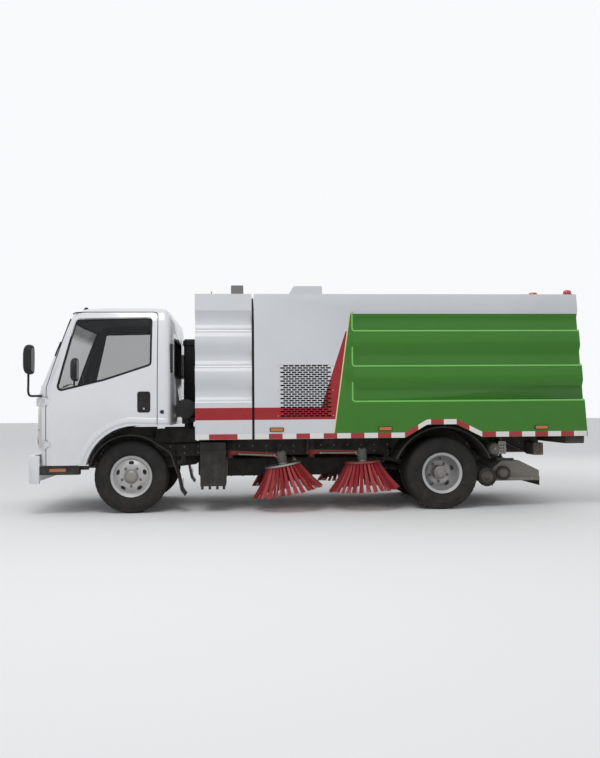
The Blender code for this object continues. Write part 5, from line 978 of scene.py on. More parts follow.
# Wheel arch flares. A rounded raised flare is pressed into the door's skin along the arch and
# runs on level across the rear pillar to the end of the cab.
arch_line = [
    (0.060 - 0.567 * math.cos(math.radians(12 + 4 * i)), 0.415 + 0.567 * math.sin(math.radians(12 + 4 * i)))
    for i in range(19)
] + [(0.12, 0.976), (0.20, 0.972), (0.283, 0.968)]
for name, side in both_sides:
    for node, body, line in (
        ("door_" + name, "door_" + name, smooth_line([spot(a, 0, b) for a, b in arch_line], 3)),
        ("cab_shell", "cab", [spot(0.298 + 0.0125 * i, 0, 0.968) for i in range(11)]),
    ):
        target = tree_of(node)
        work = bmesh.new()
        rings = []
        for i, point in enumerate(line):
            run = (line[min(i + 1, len(line) - 1)] - line[max(i - 1, 0)]).normalized()
            away = Vector((-run.z, 0, run.x))
            ring = []
            for off, lift in (
                (0.052, -0.003), (0.046, 0.001), (0.030, 0.006), (0.012, 0.009), (-0.004, 0.009),
                (-0.010, 0.004), (-0.010, -0.003)
            ):
                place = point + away * off
                hit = target.ray_cast(Vector((place.x, side * 2, place.z)), Vector((0, -side, 0)), 10)[0]
                if hit is None or abs(hit.y) < 0.9:
                    ring = None
                    break
                ring.append(work.verts.new((place.x, hit.y + side * lift, place.z)))
            if ring:
                rings.append(ring)
        join_rings(work, rings)
        if len(rings) > 1:
            work.faces.new(rings[0])
            work.faces.new(rings[-1])
            piece_from(f"arch_flare_{name}_{body}", body, work, [white_paint], 40)

# Door handles. A flush black moulding with a paddle behind a finger recess, a lock beside
# it, and behind the door a small black cover on the rear pillar.


def side_hit(target, side, station, height):
    """Where a level ray from one side meets a target."""
    return target.ray_cast(spot(station, side * 2, height), Vector((0, -side, 0)), 10)[0]


for name, side in both_sides:
    target = tree_of("door_" + name)
    hit = side_hit(target, side, 0.155, 1.19)
    y = hit.y
    work = bmesh.new()
    outline = moved(plate_line(0.086, 1.078, 0.222, 1.300, 0.026, 6))
    inner = moved(plate_line(0.098, 1.165, 0.210, 1.285, 0.018, 6))
    count = len(outline)
    lift = side * 0.006
    rings = []
    for shape, level in (
        (outline, -side * 0.004), (outline, lift * 0.7), (grown(outline, -0.003), lift),
        (grown(inner, 0.003), lift), (inner, lift * 0.5), (inner, side * 0.0012)
    ):
        rings.append([work.verts.new((a, y + level, b)) for a, b in shape])
    join_rings(work, rings)
    work.faces.new(rings[-1])
    work.faces.new(rings[0])
    paddle = moved(plate_line(0.104, 1.205, 0.204, 1.262, 0.012, 5))
    add_prism(work, paddle, y - side * 0.004, y + side * 0.005, "Y")
    add_stud(work, (0.011, 0.002, 0.0035, 0.008), spot(0.155, y + side * 0.004, 1.118), (0, side, 0), 20, 1)
    piece_from("door_handle_" + name, "door_" + name, work, [black_plastic, steel_zinc], 40)
    target = tree_of("cab_shell")
    hit = side_hit(target, side, 0.347, 1.083)
    work = bmesh.new()
    cover = moved(plate_line(0.330, 1.064, 0.364, 1.102, 0.006, 4))
    add_prism(work, cover, hit.y - side * 0.003, hit.y + side * 0.004, "Y")
    add_stud(work, (0.009, 0.002, 0.003, 0.005), (cover[0][0], hit.y + side * 0.004, 1.083), (0, side, 0), 16)
    piece_from("pillar_cover_" + name, "cab", work, [black_plastic], 40, 0.001)

# Cab trim. Black strips on the front pillars, black louvres on the cab's rear corners, the
# aerial's foot on the roof, and the two wipers parked at the foot of the screen.
target = tree_of("cab_shell")
work = bmesh.new()
for side in (-1, 1):
    line = []
    for x, z in ((-0.786, 1.685), (-0.770, 1.735), (-0.750, 1.785), (-0.733, 1.835)):
        hit = side_hit(target, side, x, z)
        line.append((spot(x, 0, z).x, hit.y + side * 0.002, z))
    add_tube(work, smooth_line(line, 4), 0.012, 10)
    low, high = sorted((side * 0.905, side * 0.945))
    add_box(work, spot(0.4295, low, 1.500), spot(0.450, high, 1.810))
    for i in range(9):
        z = 1.515 + i * 0.033
        add_box(work, spot(0.4500, low + 0.003, z), spot(0.4535, high - 0.003, z + 0.018))
hit = target.ray_cast(spot(-0.518, -0.62, 3), Vector((0, 0, -1)), 10)[0]
add_turned(
    work, ((-0.006, 0.036), (0.004, 0.036), (0.010, 0.030), (0.024, 0.024), (0.036, 0.015), (0.040, 0.0)),
    hit, (0, 0, 1), 28
)
piece_from("cab_trim", "cab", work, [black_plastic], 40, 0.0012)


def front_hit(target, y, z):
    """Where a level ray from ahead meets a target."""
    return target.ray_cast(Vector((-5, y, z)), Vector((1, 0, 0)), 10)[0]


screen = tree_of("windscreen", "cab_shell")
work = bmesh.new()
for pivot_y, tip_y in ((-0.52, -0.02), (0.16, 0.66)):
    points = []
    for i in range(15):
        share = i / 14
        y, z = pivot_y + (tip_y - pivot_y) * share, 1.368 + 0.05 * math.sin(math.pi * share * 0.5)
        hit = front_hit(screen, y, z)
        points.append((hit.x - 0.017, y, z))
    add_tube(work, [points[0], points[4], points[8]], 0.005, 6)
    add_tube(work, [(a, b, c + 0.012) for a, b, c in points[2:]], 0.004, 6, 1)
    add_tube(work, [(a + 0.010, b, c + 0.012) for a, b, c in points[2:]], 0.003, 6, 1)
    hit = front_hit(target, pivot_y, 1.325)
    add_turned(work, ((-0.004, 0.018), (0.012, 0.016), (0.018, 0.010)), hit, (-1, 0, 0.3), 16)
    add_tube(work, [hit + Vector((-0.012, 0, 0)), points[0]], 0.006, 6)
piece_from("wipers", "cab", work, [black_plastic, rubber_black], 40)

# Lamps and grille bar. Each corner lamp is one moulded unit with a ribbed clear lens over its
# bowl and a turn lamp above; a black slatted bar joins the two across the front.
lens_paint, tree, group = surface("ribbed_lens", (0.56, 0.55, 0.50), 0.12, 0.10, 60.0, 0.1, 0.0, 0.8)
add, feed, maths, mixed, noise_of = tree_tools(tree)
wave = add("ShaderNodeTexWave", bands_direction="Y")
feed(wave.inputs["Vector"], add("ShaderNodeTexCoord").outputs["Object"])
wave.inputs["Scale"].default_value = 22
tint = mixed(maths("MULTIPLY", wave.outputs["Fac"], 0.35), (0.60, 0.58, 0.52, 1), (0.33, 0.32, 0.30, 1))
feed(group.inputs["Color"], tint)
lamp_skin = refined("lamp_bar", lens_paint, 30)
lamp_skin.data.materials.append(black_plastic)
for face in lamp_skin.data.polygons:
    if abs(face.center.y) < 0.66 and face.center.z < 0.91 and face.center.z > 0.79:
        face.material_index = 1
target = tree_of("lamp_bar", "cab_shell")
amber_lens = plain("amber_lens", (0.50, 0.15, 0.02), 0.16, 0.1, 500.0, 0.25, 0.0, 0.5)
work = bmesh.new()
for side in (-1, 1):
    z = 0.902
    line = []
    for i in range(15):
        hit = front_hit(target, side * (0.626 + 0.30 * i / 14), z)
        line.append(hit + Vector((-0.001, 0, 0)))
    add_tube(work, line, 0.005, 6)
    hit = front_hit(target, side * 0.80, 0.80)
    add_turned(
        work, ((0.004, 0.070), (-0.003, 0.070), (-0.005, 0.064), (-0.003, 0.060), (-0.0065, 0.0)), hit,
        (1, 0, 0), 36, 1
    )
for i in range(4):
    z = 0.815 + i * 0.021
    line = []
    for j in range(13):
        y = -0.60 + 1.2 * j / 12
        hit = front_hit(target, y, z)
        line.append(hit + Vector((-0.002, 0, 0)))
    add_tube(work, line, 0.0055, 6, 0)
piece_from("lamp_details", "cab", work, [black_plastic, lens_paint], 40)
work = bmesh.new()
for side in (-1, 1):
    layers = []
    for lift in (-0.003, 0.0022):
        rows = []
        for i in range(12):
            z = 0.722 + 0.405 * i / 11
            row = []
            for k in range(8):
                x = spot(-0.984 + 0.066 * k / 7, 0, 0).x
                hit, normal = target.ray_cast(Vector((x, side * 2, z)), Vector((0, -side, 0)), 10)[:2]
                row.append(work.verts.new(hit + normal * lift))
            rows.append(row)
        layers.append(rows)
    inner, outer = layers
    for i in range(11):
        for k in range(7):
            work.faces.new((outer[i][k], outer[i][k + 1], outer[i + 1][k + 1], outer[i + 1][k]))
            work.faces.new((inner[i][k], inner[i + 1][k], inner[i + 1][k + 1], inner[i][k + 1]))
    rim = [(i, 0) for i in range(12)] + [(11, k) for k in range(1, 8)] + [(i, 7) for i in range(10, -1, -1)]
    rim += [(0, k) for k in range(6, 0, -1)]
    for (a, b), (c, d) in zip(rim, rim[1:] + rim[:1]):
        work.faces.new((inner[a][b], outer[a][b], outer[c][d], inner[c][d]))
piece_from("corner_lenses", "cab", work, [lens_paint], 40)

# Dashboard. A grained dark grey moulding over the engine bulkhead, with a dished steering
# wheel of black foam on the left and a hooded instrument panel ahead of it.
refined("dashboard", trim_grey, 35)
work = bmesh.new()
start = spot(-0.67, -0.48, 1.19)
centre = spot(-0.47, -0.48, 1.30)
axis = (centre - start).normalized()
across = axis.cross(Vector((0, 1, 0))).normalized()
ring = [
    centre + 0.199 * (
        math.cos(2 * math.pi * i / 48) * across + math.sin(2 * math.pi * i / 48) * Vector((0, 1, 0))
    )
    for i in range(49)
]
add_tube(work, ring, 0.0155, 12)
add_turned(work, ((-0.03, 0.045), (0.008, 0.050), (0.016, 0.040), (0.018, 0.0)), centre, axis, 28)
outline = rounded(((-0.72, 1.21), (-0.24, 1.21), (-0.27, 1.33), (-0.69, 1.33)), 0.03, 4)
add_prism(work, outline, spot(-0.80, 0, 0).x, spot(-0.66, 0, 0).x, "X")
for y in (-0.60, -0.44, 0.05, 0.20, 0.72):
    add_box(work, spot(-0.642, y - 0.05, 1.14), spot(-0.632, y + 0.05, 1.19))
piece_from("steering_wheel_rim", "cab", work, [rubber_black], 40, 0.002)

# Seats. Three seats in one row, foam cushions in grey woven cloth on a boxed base: a driver's
# seat on the left and a double bench, each back with its own head pad.
cloth_grey, tree, group = surface("woven_cloth", (0.085, 0.088, 0.095), 0.92, 0.02, 500.0, 0.3)
add, feed, maths, mixed, noise_of = tree_tools(tree)
place = add("ShaderNodeTexCoord").outputs["Object"]
weave = add("ShaderNodeTexWave", bands_direction="Y")
feed(weave.inputs["Vector"], place)
weave.inputs["Scale"].default_value = 130
weft = add("ShaderNodeTexWave", bands_direction="Z")
feed(weft.inputs["Vector"], place)
weft.inputs["Scale"].default_value = 130
both = maths("MULTIPLY", weave.outputs["Fac"], weft.outputs["Fac"])
feed(group.inputs["Color"], mixed(both, (0.06, 0.062, 0.07, 1), (0.14, 0.142, 0.15, 1)))
tree.nodes["Principled BSDF"].inputs["Sheen Weight"].default_value = 0.3


def cushion(name, low, high, crown, body, lean=0.0, seams=(), along=2):
    """A stuffed pad: a rounded crowned form whose sides draw in, with sewn channels across it."""
    work = bmesh.new()
    bmesh.ops.create_cube(work, size=2)
    bmesh.ops.subdivide_edges(work, edges=work.edges, cuts=17, use_grid_fill=True)
    middle = [(a + b) / 2 for a, b in zip(low, high)]
    half = [(b - a) / 2 for a, b in zip(low, high)]
    thin = min(range(3), key=lambda k: half[k])
    others = [k for k in range(3) if k != thin]
    for corner in work.verts:
        p = list(corner.co)
        u, v = p[others[0]], p[others[1]]
        edge = (1 - abs(u) ** 4) * (1 - abs(v) ** 4)
        puff = 0.62 + 0.38 * edge ** 0.4
        p[thin] *= puff
        pinch = 1 - 0.05 * (1 - abs(p[thin]) ** 2)
        for k in others:
            p[k] *= pinch if abs(p[k]) > 0.98 else 1
        q = [middle[k] + p[k] * half[k] for k in range(3)]
        for seam in seams:
            gap = abs(q[along] - seam)
            if gap < 0.014 and abs(p[thin]) > 0.3:
                q[thin] -= math.copysign(crown * (1 - (gap / 0.014) ** 2), p[thin])
        q[0] += lean * (q[2] - low[2])
        corner.co = q
    piece = piece_from(name, body, work, [cloth_grey], 180)
    step = piece.modifiers.new("smooth", "SUBSURF")
    step.levels = 1
    step.render_levels = 1
    return piece


work = bmesh.new()
add_box(work, spot(-0.195, -0.80, 0.987), spot(0.295, -0.16, 1.075))
add_box(work, spot(-0.195, -0.08, 0.987), spot(0.295, 0.80, 1.075))
add_box(work, spot(-0.19, -0.70, 1.07), spot(0.28, -0.26, 1.09))
base = piece_from("seat_base", "cab", work, [trim_grey], 30, 0.006)
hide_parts("seats")
for name, y in (("driver", -0.48), ("middle", 0.15), ("outer", 0.60)):
    cushion(
        "seat_pad_" + name, spot(-0.25, y - 0.21, 1.080), spot(0.20, y + 0.21, 1.205), 0.007, "cab", 0,
        (spot(-0.10, 0, 0).x, spot(0.02, 0, 0).x), 0
    )
    cushion(
        "seat_back_" + name, spot(0.160, y - 0.205, 1.19), spot(0.262, y + 0.205, 1.70), 0.006, "cab", 0.09,
        (1.33, 1.47, 1.60), 2
    )
    cushion(
        "seat_head_" + name, spot(0.195, y - 0.12, 1.705), spot(0.275, y + 0.12, 1.83), 0.004, "cab", 0.06,
        (), 2
    )

# Mirrors. A black moulded head with rounded edges and a silvered glass set in its rear, on a
# tube that bends down to a bracket screwed to the door pillar.
mirror_glass = plain("mirror_glass", (0.10, 0.105, 0.11), 0.05, 0.04, 20.0, 0.0, 1.0)
for name, side in both_sides:
    node = "mirror_" + name
    work = bmesh.new()
    bmesh.ops.create_cube(work, size=2)
    bmesh.ops.subdivide_edges(work, edges=work.edges, cuts=15, use_grid_fill=True)
    for corner in work.verts:
        p = corner.co.copy()
        for k in range(14):
            p /= (abs(p.x) ** 2.2 + abs(p.y) ** 4 + abs(p.z) ** 4) ** (1 / 3.5)
        depth = 0.060 * p.x if p.x < 0 else 0.030 * min(p.x, 0.55) / 0.55
        corner.co = spot(-0.998 + depth, side * (1.105 + 0.084 * p.y), 1.635 + 0.154 * p.z)
    rear = spot(-0.968, 0, 0).x
    glass = plate_line(1.046, 1.515, 1.164, 1.755, 0.030, 5)
    add_prism(work, [(side * a, b) for a, b in glass], rear - 0.004, rear + 0.0004, "X", 1)
    middle = side * 1.105
    add_tube(work, smooth_line((
        spot(-0.907, side * 0.895, 1.262), spot(-0.955, side * 0.985, 1.260),
        spot(-1.000, side * 1.075, 1.262),
        spot(-1.012, middle, 1.300), spot(-1.012, middle, 1.400), spot(-1.012, middle, 1.500),
    ), 6), 0.0115, 12)
    head = piece_from(node + "_head", "cab", work, [black_plastic, mirror_glass], 40)
    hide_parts(node)
    work = bmesh.new()
    target = tree_of("cab_shell")
    hit = target.ray_cast(spot(-3.0, side * 0.885, 1.262), Vector((1, 0, 0)), 10)[0]
    add_turned(
        work, ((-0.004, 0.030), (0.012, 0.026), (0.020, 0.016), (0.022, 0.0)), hit, (-0.8, side * 0.5, 0),
        20
    )
    low = plate_line(side * 0.860, 1.150, side * 0.930, 1.245, 0.014, 4)
    add_prism(work, low, hit.x - 0.030, hit.x + 0.030, "X")
    piece_from(node + "_bracket", "cab", work, [white_paint], 40, 0.006)

# Body paint. The sweeper body is sprayed white, then masked: green behind a slanting line
# with a cream edge, and one red band at the waist that widens to a point at the slant.
livery = bpy.data.node_groups.new("body_livery", "ShaderNodeTree")
livery.interface.new_socket(name="Color", in_out="OUTPUT", socket_type="NodeSocketColor")
add, feed, maths, mixed, noise_of = tree_tools(livery)
outside = add("NodeGroupOutput")
apart = add("ShaderNodeSeparateXYZ")
feed(apart.inputs[0], add("ShaderNodeTexCoord").outputs["Object"])
station = maths("SUBTRACT", apart.outputs["X"], front_axle_x)
height = apart.outputs["Z"]


def beyond(value, limit):
    return maths("GREATER_THAN", value, limit)


def line_x(low_x, low_z, high_x, high_z):
    """The station of a slanting line at the height shaded."""
    slope = (high_x - low_x) / (high_z - low_z)
    return maths("ADD", maths("MULTIPLY", maths("SUBTRACT", height, low_z), slope), low_x)


slant = line_x(2.17, 0.84, 2.35, 2.12)
green = maths("MULTIPLY", beyond(station, slant), beyond(2.12, height))
cream = maths("MULTIPLY", beyond(station, maths("SUBTRACT", slant, 0.012)), beyond(2.12, height))
band = maths("MULTIPLY", beyond(height, 0.99), beyond(1.12, height))
wedge_left = line_x(2.04, 1.146, 2.28, 1.877)
wedge = maths("MULTIPLY", beyond(station, wedge_left), beyond(height, 0.99))
wedge = maths("MULTIPLY", wedge, beyond(1.93, height))
red = maths("MAXIMUM", band, wedge)
red = maths("MULTIPLY", red, maths("SUBTRACT", 1.0, cream))
# The body's white is set greyer than the cab's white paint: painted shade.
colour = mixed(cream, (0.60, 0.62, 0.645, 1), (0.72, 0.60, 0.33, 1))
colour = mixed(green, colour, (0.034, 0.180, 0.009, 1))
colour = mixed(red, colour, (0.31, 0.010, 0.014, 1))
feed(outside.inputs["Color"], colour)
body_paint, tree, group = surface("body_paint", (0.8, 0.8, 0.8), 0.22, 0.06, 14.0, 0.004, 0.0, 0.1, 0.35)
colours = tree.nodes.new("ShaderNodeGroup")
colours.node_tree = livery
tree.links.new(colours.outputs["Color"], group.inputs["Color"])
green_paint = plain("green_body_paint", (0.034, 0.180, 0.009), 0.24, 0.08, 14.0, 0.004, 0.0, 0.15)

# Equipment housing. The white module behind the cab, folded from sheet with three pressed
# grooves a side, a grey vent box on its roof and a thin whip on its near edge.
grey_paint = plain("grey_steel_paint", (0.17, 0.165, 0.155), 0.5, 0.5, 120.0, 0.3, 0.1)

refined("equipment_housing", body_paint, 30)
refined("vent_box", grey_paint, 30, 0.004)
work = bmesh.new()
add_tube(work, (spot(0.853, -0.62, 2.329), spot(0.853, -0.62, 2.415)), 0.0045, 8)
add_stud(work, (0.016, 0.006, 0.012, 0.008), spot(0.853, -0.62, 2.3295), (0, 0, 1), 16)
for x in (1.062, 1.203):
    for z in (2.40, 2.44, 2.48, 2.52):
        add_box(work, spot(x - 0.003, -0.060, z), spot(x + 0.003, 0.060, z + 0.016), 0)
piece_from("roof_whip", "chassis", work, [black_plastic], 40)

# Grille. Two screens of slotted sheet let into the body sides, twenty-four staggered rows of
# slots, nine and eight by turns, painted with the body. Behind them a near-black sheet with four
# posts is painted shade for the room that holds the fan.
# Near-black paint that stands for shade: behind the grille slots and in drilled holes.
painted_shade_black = plain("painted_shade_black", (0.004, 0.004, 0.004), 0.9, 0.02, 200.0, 0.1)
rows, slots = 24, 9
for name, side in both_sides:
    work = bmesh.new()
    x0, x1 = spot(1.5905, 0, 0).x, spot(2.1395, 0, 0).x
    z0, z1 = 1.0165, 1.5735
    pitch_z = (z1 - z0) / rows
    pitch_x = 0.061
    low, high = sorted((side * 1.0455, side * 1.0475))
    for i in range(rows + 1):
        a, b = z0 + i * pitch_z - 0.0034, z0 + i * pitch_z + 0.0034
        add_box(work, (x0, low, max(a, z0)), (x1, high, min(b, z1)))
    for i in range(rows):
        a, b = z0 + i * pitch_z + 0.0034, z0 + (i + 1) * pitch_z - 0.0034
        shift = 0.5 * pitch_x if i % 2 else 0
        edges = [x0]
        for k in range(slots + 1):
            left = x0 + 0.006 + shift + k * pitch_x
            right = left + 0.050
            if right > x1 - 0.004:
                break
            edges += [left, right]
        edges.append(x1)
        for left, right in zip(edges[::2], edges[1::2]):
            add_box(work, (left, low, a), (right, high, b))
    piece_from("grille_screen_" + name, "hopper", work, [body_paint], 30)
    # The backing sheet and its posts are painted shade for the fan's room.
    work = bmesh.new()
    add_box(work, (x0, side * 0.980, z0), (x1, side * 0.986, z1))
    for i in range(1, 5):
        x = x0 + i * (x1 - x0) / 5
        a, b = sorted((side * 0.986, side * 1.040))
        add_box(work, (x - 0.002, a, z0), (x + 0.002, b, z1))
    piece_from("grille_back_" + name, "hopper", work, [painted_shade_black], 30)

# Hopper. The tipping body of welded sheet steel with three pressed grooves down each side, a
# white roof with the fan's outlet cowl, and a black sill across its tail.
hopper = refined("hopper", body_paint, 30)
refined("outlet_cowl", body_paint, 30, 0.006)
hopper.data.materials.append(frame_black)
for face in hopper.data.polygons:
    middle = face.center
    if middle.z < 0.93 and (
        middle.x > 2.76 and abs(middle.y) < 1.004 and middle.z < 0.784 or abs(middle.y) < 1.015
    ):
        face.material_index = 1
white_tape = plain("white_reflective_tape", (0.74, 0.73, 0.70), 0.3, 0.15, 900.0, 0.3)
red_tape = plain("red_reflective_tape", (0.34, 0.014, 0.018), 0.35, 0.10, 900.0, 0.3)


body_side = 1.050
block_faces = ((0, 1, 2, 3), (4, 5, 6, 7), (0, 1, 5, 4), (1, 2, 6, 5), (2, 3, 7, 6), (3, 0, 4, 7))


def tape_run(work, side, points, height, marks):
    """Tape along a bottom edge: red marks and white between them, cut to the edge's slope."""
    for (first, last), paint in marks:
        count = 5
        for k in range(count):
            a = first + (last - first) * k / count
            b = first + (last - first) * (k + 1) / count
            ring = []
            for x in (a, b):
                p, q = next((p, q) for p, q in zip(points, points[1:]) if x <= q[0] + 1e-6)
                ring.append((x, p[1] + (q[1] - p[1]) * (x - p[0]) / (q[0] - p[0])))
            corners = []
            for level in (side * body_side, side * (body_side + 0.0012)):
                for (x, z), up in ((ring[0], 0), (ring[1], 0), (ring[1], height), (ring[0], height)):
                    corners.append(spot(x, level, z + up))
            add_faces(work, corners, block_faces, paint)


def marks_between(first, last, count, start=0):
    step = (last - first) / count
    return [((first + i * step, first + (i + 1) * step), (i + start) % 2) for i in range(count)]


for name, side in both_sides:
    work = bmesh.new()
    tape_run(
        work, side, ((0.695, 0.787), (1.295, 0.787)), 0.055,
        (((0.70, 0.84), 0), ((0.84, 1.14), 1), ((1.14, 1.29), 0))
    )
    piece_from("housing_tape_" + name, "chassis", work, [white_tape, red_tape], 30)
    work = bmesh.new()
    edge = ((1.320, 0.787), (2.930, 0.787), (3.170, 0.926), (3.490, 0.926), (3.770, 0.787), (4.930, 0.787))
    tape_run(work, side, edge[:2], 0.055, marks_between(1.325, 2.925, 11, 0))
    tape_run(work, side, edge[1:5], 0.055, marks_between(2.932, 3.768, 6, 1))
    tape_run(work, side, edge[4:], 0.055, marks_between(3.775, 4.925, 8, 1))
    piece_from("hopper_tape_" + name, "hopper", work, [white_tape, red_tape], 30)

# Groove lips. Each pressed groove ends below in a rounded lip, coloured lighter than the paint
# around it as a painted highlight; on the hopper the lip turns up round the groove's front end.
# Both lip colours are lighter than the body's white and green: painted highlights.
lip_white_highlight = plain("white_lip_painted_highlight", (0.80, 0.81, 0.82), 0.2, 0.05, 14.0, 0.004, 0.0, 0.3)
lip_green_highlight = plain("green_lip_painted_highlight", (0.17, 0.50, 0.10), 0.2, 0.05, 14.0, 0.004, 0.0, 0.3)
for name, side in both_sides:
    for body, first, work in (("chassis", 0.6965, bmesh.new()), ("hopper", 2.368, bmesh.new())):
        for foot in (1.180, 1.558, 1.936):
            y, z = side * 1.0445, foot - 0.003
            last = 1.2935 if body == "chassis" else 4.835 + 0.10 * (2.330 - foot) / 1.545 - 0.003
            line = [spot(last, y, z), spot(first, y, z)]
            if body == "hopper":
                line = [line[0]]
                for i in range(9):
                    angle = math.radians(90 * i / 8)
                    line.append(
                        spot(first + 0.03 - 0.03 * math.sin(angle), y, z + 0.03 - 0.03 * math.cos(angle))
                    )
                line.append(spot(first - 0.001, y - side * 0.003, foot + 0.205))
            add_tube(work, line, 0.0105, 16)
        piece_from(
            f"groove_lips_{body}_{name}", body, work, [lip_white_highlight if body == "chassis" else lip_green_highlight], 60
        )

# Joint seal. A black rubber section down the rear edges of the housing closes the gap in front
# of the tipping hopper without touching it.
work = bmesh.new()
for side in (-1, 1):
    line = plate_line(side * 0.985, 1.2955, side * 1.030, 1.3125, 0.006, 4)
    add_prism(work, [(b + front_axle_x, a) for a, b in line], 0.790, 2.285, "Z")
piece_from("joint_seal", "chassis", work, [rubber_black], 40)

# Side markers. Amber lamps in short black moulded holders, three a side along the lower edge of
# the body.
for name, side in both_sides:
    work = bmesh.new()
    for first in (1.480, 2.640, 4.345):
        base = moved(plate_line(first, 0.862, first + 0.150, 0.908, 0.010, 4))
        add_prism(work, base, side * body_side, side * 1.056, "Y", 1)
        lens = moved(plate_line(first + 0.008, 0.868, first + 0.142, 0.902, 0.012, 4))
        add_prism(work, lens, side * 1.056, side * 1.066, "Y", 0)
    piece_from("side_markers_" + name, "hopper", work, [amber_lens, black_plastic], 40, 0.0015)

# Body fittings. Small domed screws hold the slotted screens, and zinc-plated louvres close the
# rear of the outlet cowl.
work = bmesh.new()
for side in (-1, 1):
    for z in (1.03, 1.30, 1.56):
        for x in (1.572, 2.158):
            add_stud(work, (0.006, 0.0025, 0.004, 0.003), spot(x, side * body_side, z), (0, side, 0), 10)
for i in range(7):
    z = 2.36 + i * 0.022
    add_box(work, spot(2.119, -0.26, z), spot(2.124, 0.26, z + 0.012))
piece_from("body_fittings", "hopper", work, [steel_zinc], 40)

# Tailgate. One pressed door between the side walls, stiffened by four posts and three rails,
# held by screw clamps at its foot, with the tail lamps and a bare plate on the sill below.
refined("tailgate", green_paint, 30)


gate_top, gate_foot = (4.835, 2.330), (4.935, 0.785)


def gate_x(z):
    """How far back the gate's outer face lies at a height."""
    share = (gate_top[1] - z) / (gate_top[1] - gate_foot[1])
    return spot(gate_top[0] + (gate_foot[0] - gate_top[0]) * share, 0, 0).x


work = bmesh.new()
for y in (-0.90, -0.32, 0.26, 0.84):
    add_faces(work, [
        (gate_x(z) + out, y + wide, z) for z in (1.03, 2.20)
        for out, wide in ((-0.002, 0), (0.013, 0.006), (0.013, 0.054), (-0.002, 0.06))
    ], block_faces)
for z in (1.06, 1.62, 2.14):
    add_faces(work, [
        (gate_x(z + up) + out, y, z + up) for y in (-0.95, 0.95)
        for out, up in ((-0.002, 0), (0.016, 0.006), (0.016, 0.046), (-0.002, 0.052))
    ], block_faces)
piece_from("tailgate_ribs", "tailgate", work, [green_paint], 30, 0.002)
work = bmesh.new()
for y in (-0.72, 0.72):
    x = gate_x(1.12)
    add_turned(
        work, ((0, 0.022), (0.008, 0.022), (0.010, 0.012), (0.018, 0.012), (0.020, 0.008)), (x, y, 1.15),
        (1, 0, 0), 20
    )
    add_tube(work, [(x + 0.0135, y - 0.055, 1.15), (x + 0.0135, y + 0.055, 1.15)], 0.007, 10)
    for z in (1.70, 1.50):
        grip = [
            (gate_x(z) + out, y * 0.35 + along, z)
            for out, along in ((0, -0.05), (0.034, -0.04), (0.034, 0.04), (0, 0.05))
        ]
        add_tube(work, smooth_line(grip, 5), 0.007, 8)
piece_from("tailgate_clamps", "tailgate", work, [steel_zinc], 40)
red_lens = plain("red_lens", (0.45, 0.012, 0.012), 0.16, 0.1, 500.0, 0.25, 0.0, 0.5)
work = bmesh.new()
tail = spot(4.9105, 0, 0).x
for side in (-1, 1):
    for k, (near, far, paint) in enumerate(((0.66, 0.77, 2), (0.77, 0.88, 0), (0.88, 0.985, 1))):
        shape = plate_line(near + 0.002, 0.722, far - 0.002, 0.812, 0.008, 3)
        add_prism(work, [(side * a, b) for a, b in shape], tail - 0.004, tail + 0.012, "X", paint)
    shape = plate_line(0.652, 0.714, 0.993, 0.820, 0.010, 3)
    add_prism(work, [(side * a, b) for a, b in shape], tail - 0.012, tail + 0.002, "X", 3)
plate = plate_line(-0.23, 0.720, 0.23, 0.835, 0.010, 3)
add_prism(work, plate, tail - 0.008, tail + 0.003, "X", 4)
for y in (-0.10, 0.10):
    add_stud(work, (0.018, 0.014, 0.020, 0.010), (tail - 0.003, y, 0.855), (1, 0, 0), 16, 3)
for i in range(6):
    low, high = -0.60 + i * 0.2, -0.42 + i * 0.2
    add_box(work, (tail - 0.010, low, 0.870), (tail + 0.001, high, 0.915), 1 if i % 2 else 2)
piece_from(
    "tail_lamps", "hopper", work, [amber_lens, red_lens, fog_lens, black_plastic, white_tape], 40, 0.001
)

# Beacon. A ribbed red dome with a moulded cap, screwed down on a black rubber foot, and two
# lower red lamps at the roof's rear corners.
red_dome, tree, group = surface("red_dome", (0.60, 0.012, 0.010), 0.1, 0.08, 300.0, 0.1, 0.0, 0.8)
add, feed, maths, mixed, noise_of = tree_tools(tree)
shade = noise_of(add("ShaderNodeTexCoord").outputs["Object"], 40.0)
feed(group.inputs["Color"], mixed(shade, (0.62, 0.02, 0.012, 1), (0.42, 0.005, 0.006, 1)))
work = bmesh.new()
centre = spot(4.740, 0, 2.3303)
add_turned(
    work, ((0, 0.070), (0.020, 0.070), (0.026, 0.066), (0.046, 0.066), (0.050, 0.060)), centre, (0, 0, 1),
    40, 1
)
for i in range(4):
    z = 0.050 + i * 0.026
    r = 0.0585 - i * 0.0018
    add_turned(
        work, ((z, r), (z + 0.004, r + 0.002), (z + 0.021, r + 0.0008), (z + 0.026, r - 0.0015)), centre,
        (0, 0, 1), 40, 0
    )
add_turned(
    work, ((0.152, 0.053), (0.160, 0.051), (0.166, 0.044), (0.1695, 0.028), (0.170, 0.0)), centre,
    (0, 0, 1), 40, 0
)
dome = piece_from("beacon_dome", "hopper", work, [red_dome, rubber_black], 40)
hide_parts("beacon")
work = bmesh.new()
for side in (-1, 1):
    centre = spot(4.775, side * 0.955, 2.3302)
    add_stud(work, (0.052, 0.012, 0.015, 0.048), centre, (0, 0, 1), 32, 1)
    add_turned(
        work, ((0.014, 0.047), (0.030, 0.0465), (0.045, 0.043), (0.056, 0.032), (0.061, 0.018), (0.062, 0.0)),
        centre, (0, 0, 1), 32, 0,
    )
piece_from("roof_corner_lamps", "hopper", work, [red_dome, rubber_black], 40)

# Tipping cylinder. A grey painted steel barrel with a hard-chromed rod under the floor of the
# hopper, pinned to the frame at its foot and to the hopper at its head.
refined("tip_barrel", grey_paint, 30)
refined("tip_rod", plain("hard_chrome", (0.62, 0.63, 0.64), 0.12, 0.15, 300.0, 0.03, 1.0), 30)

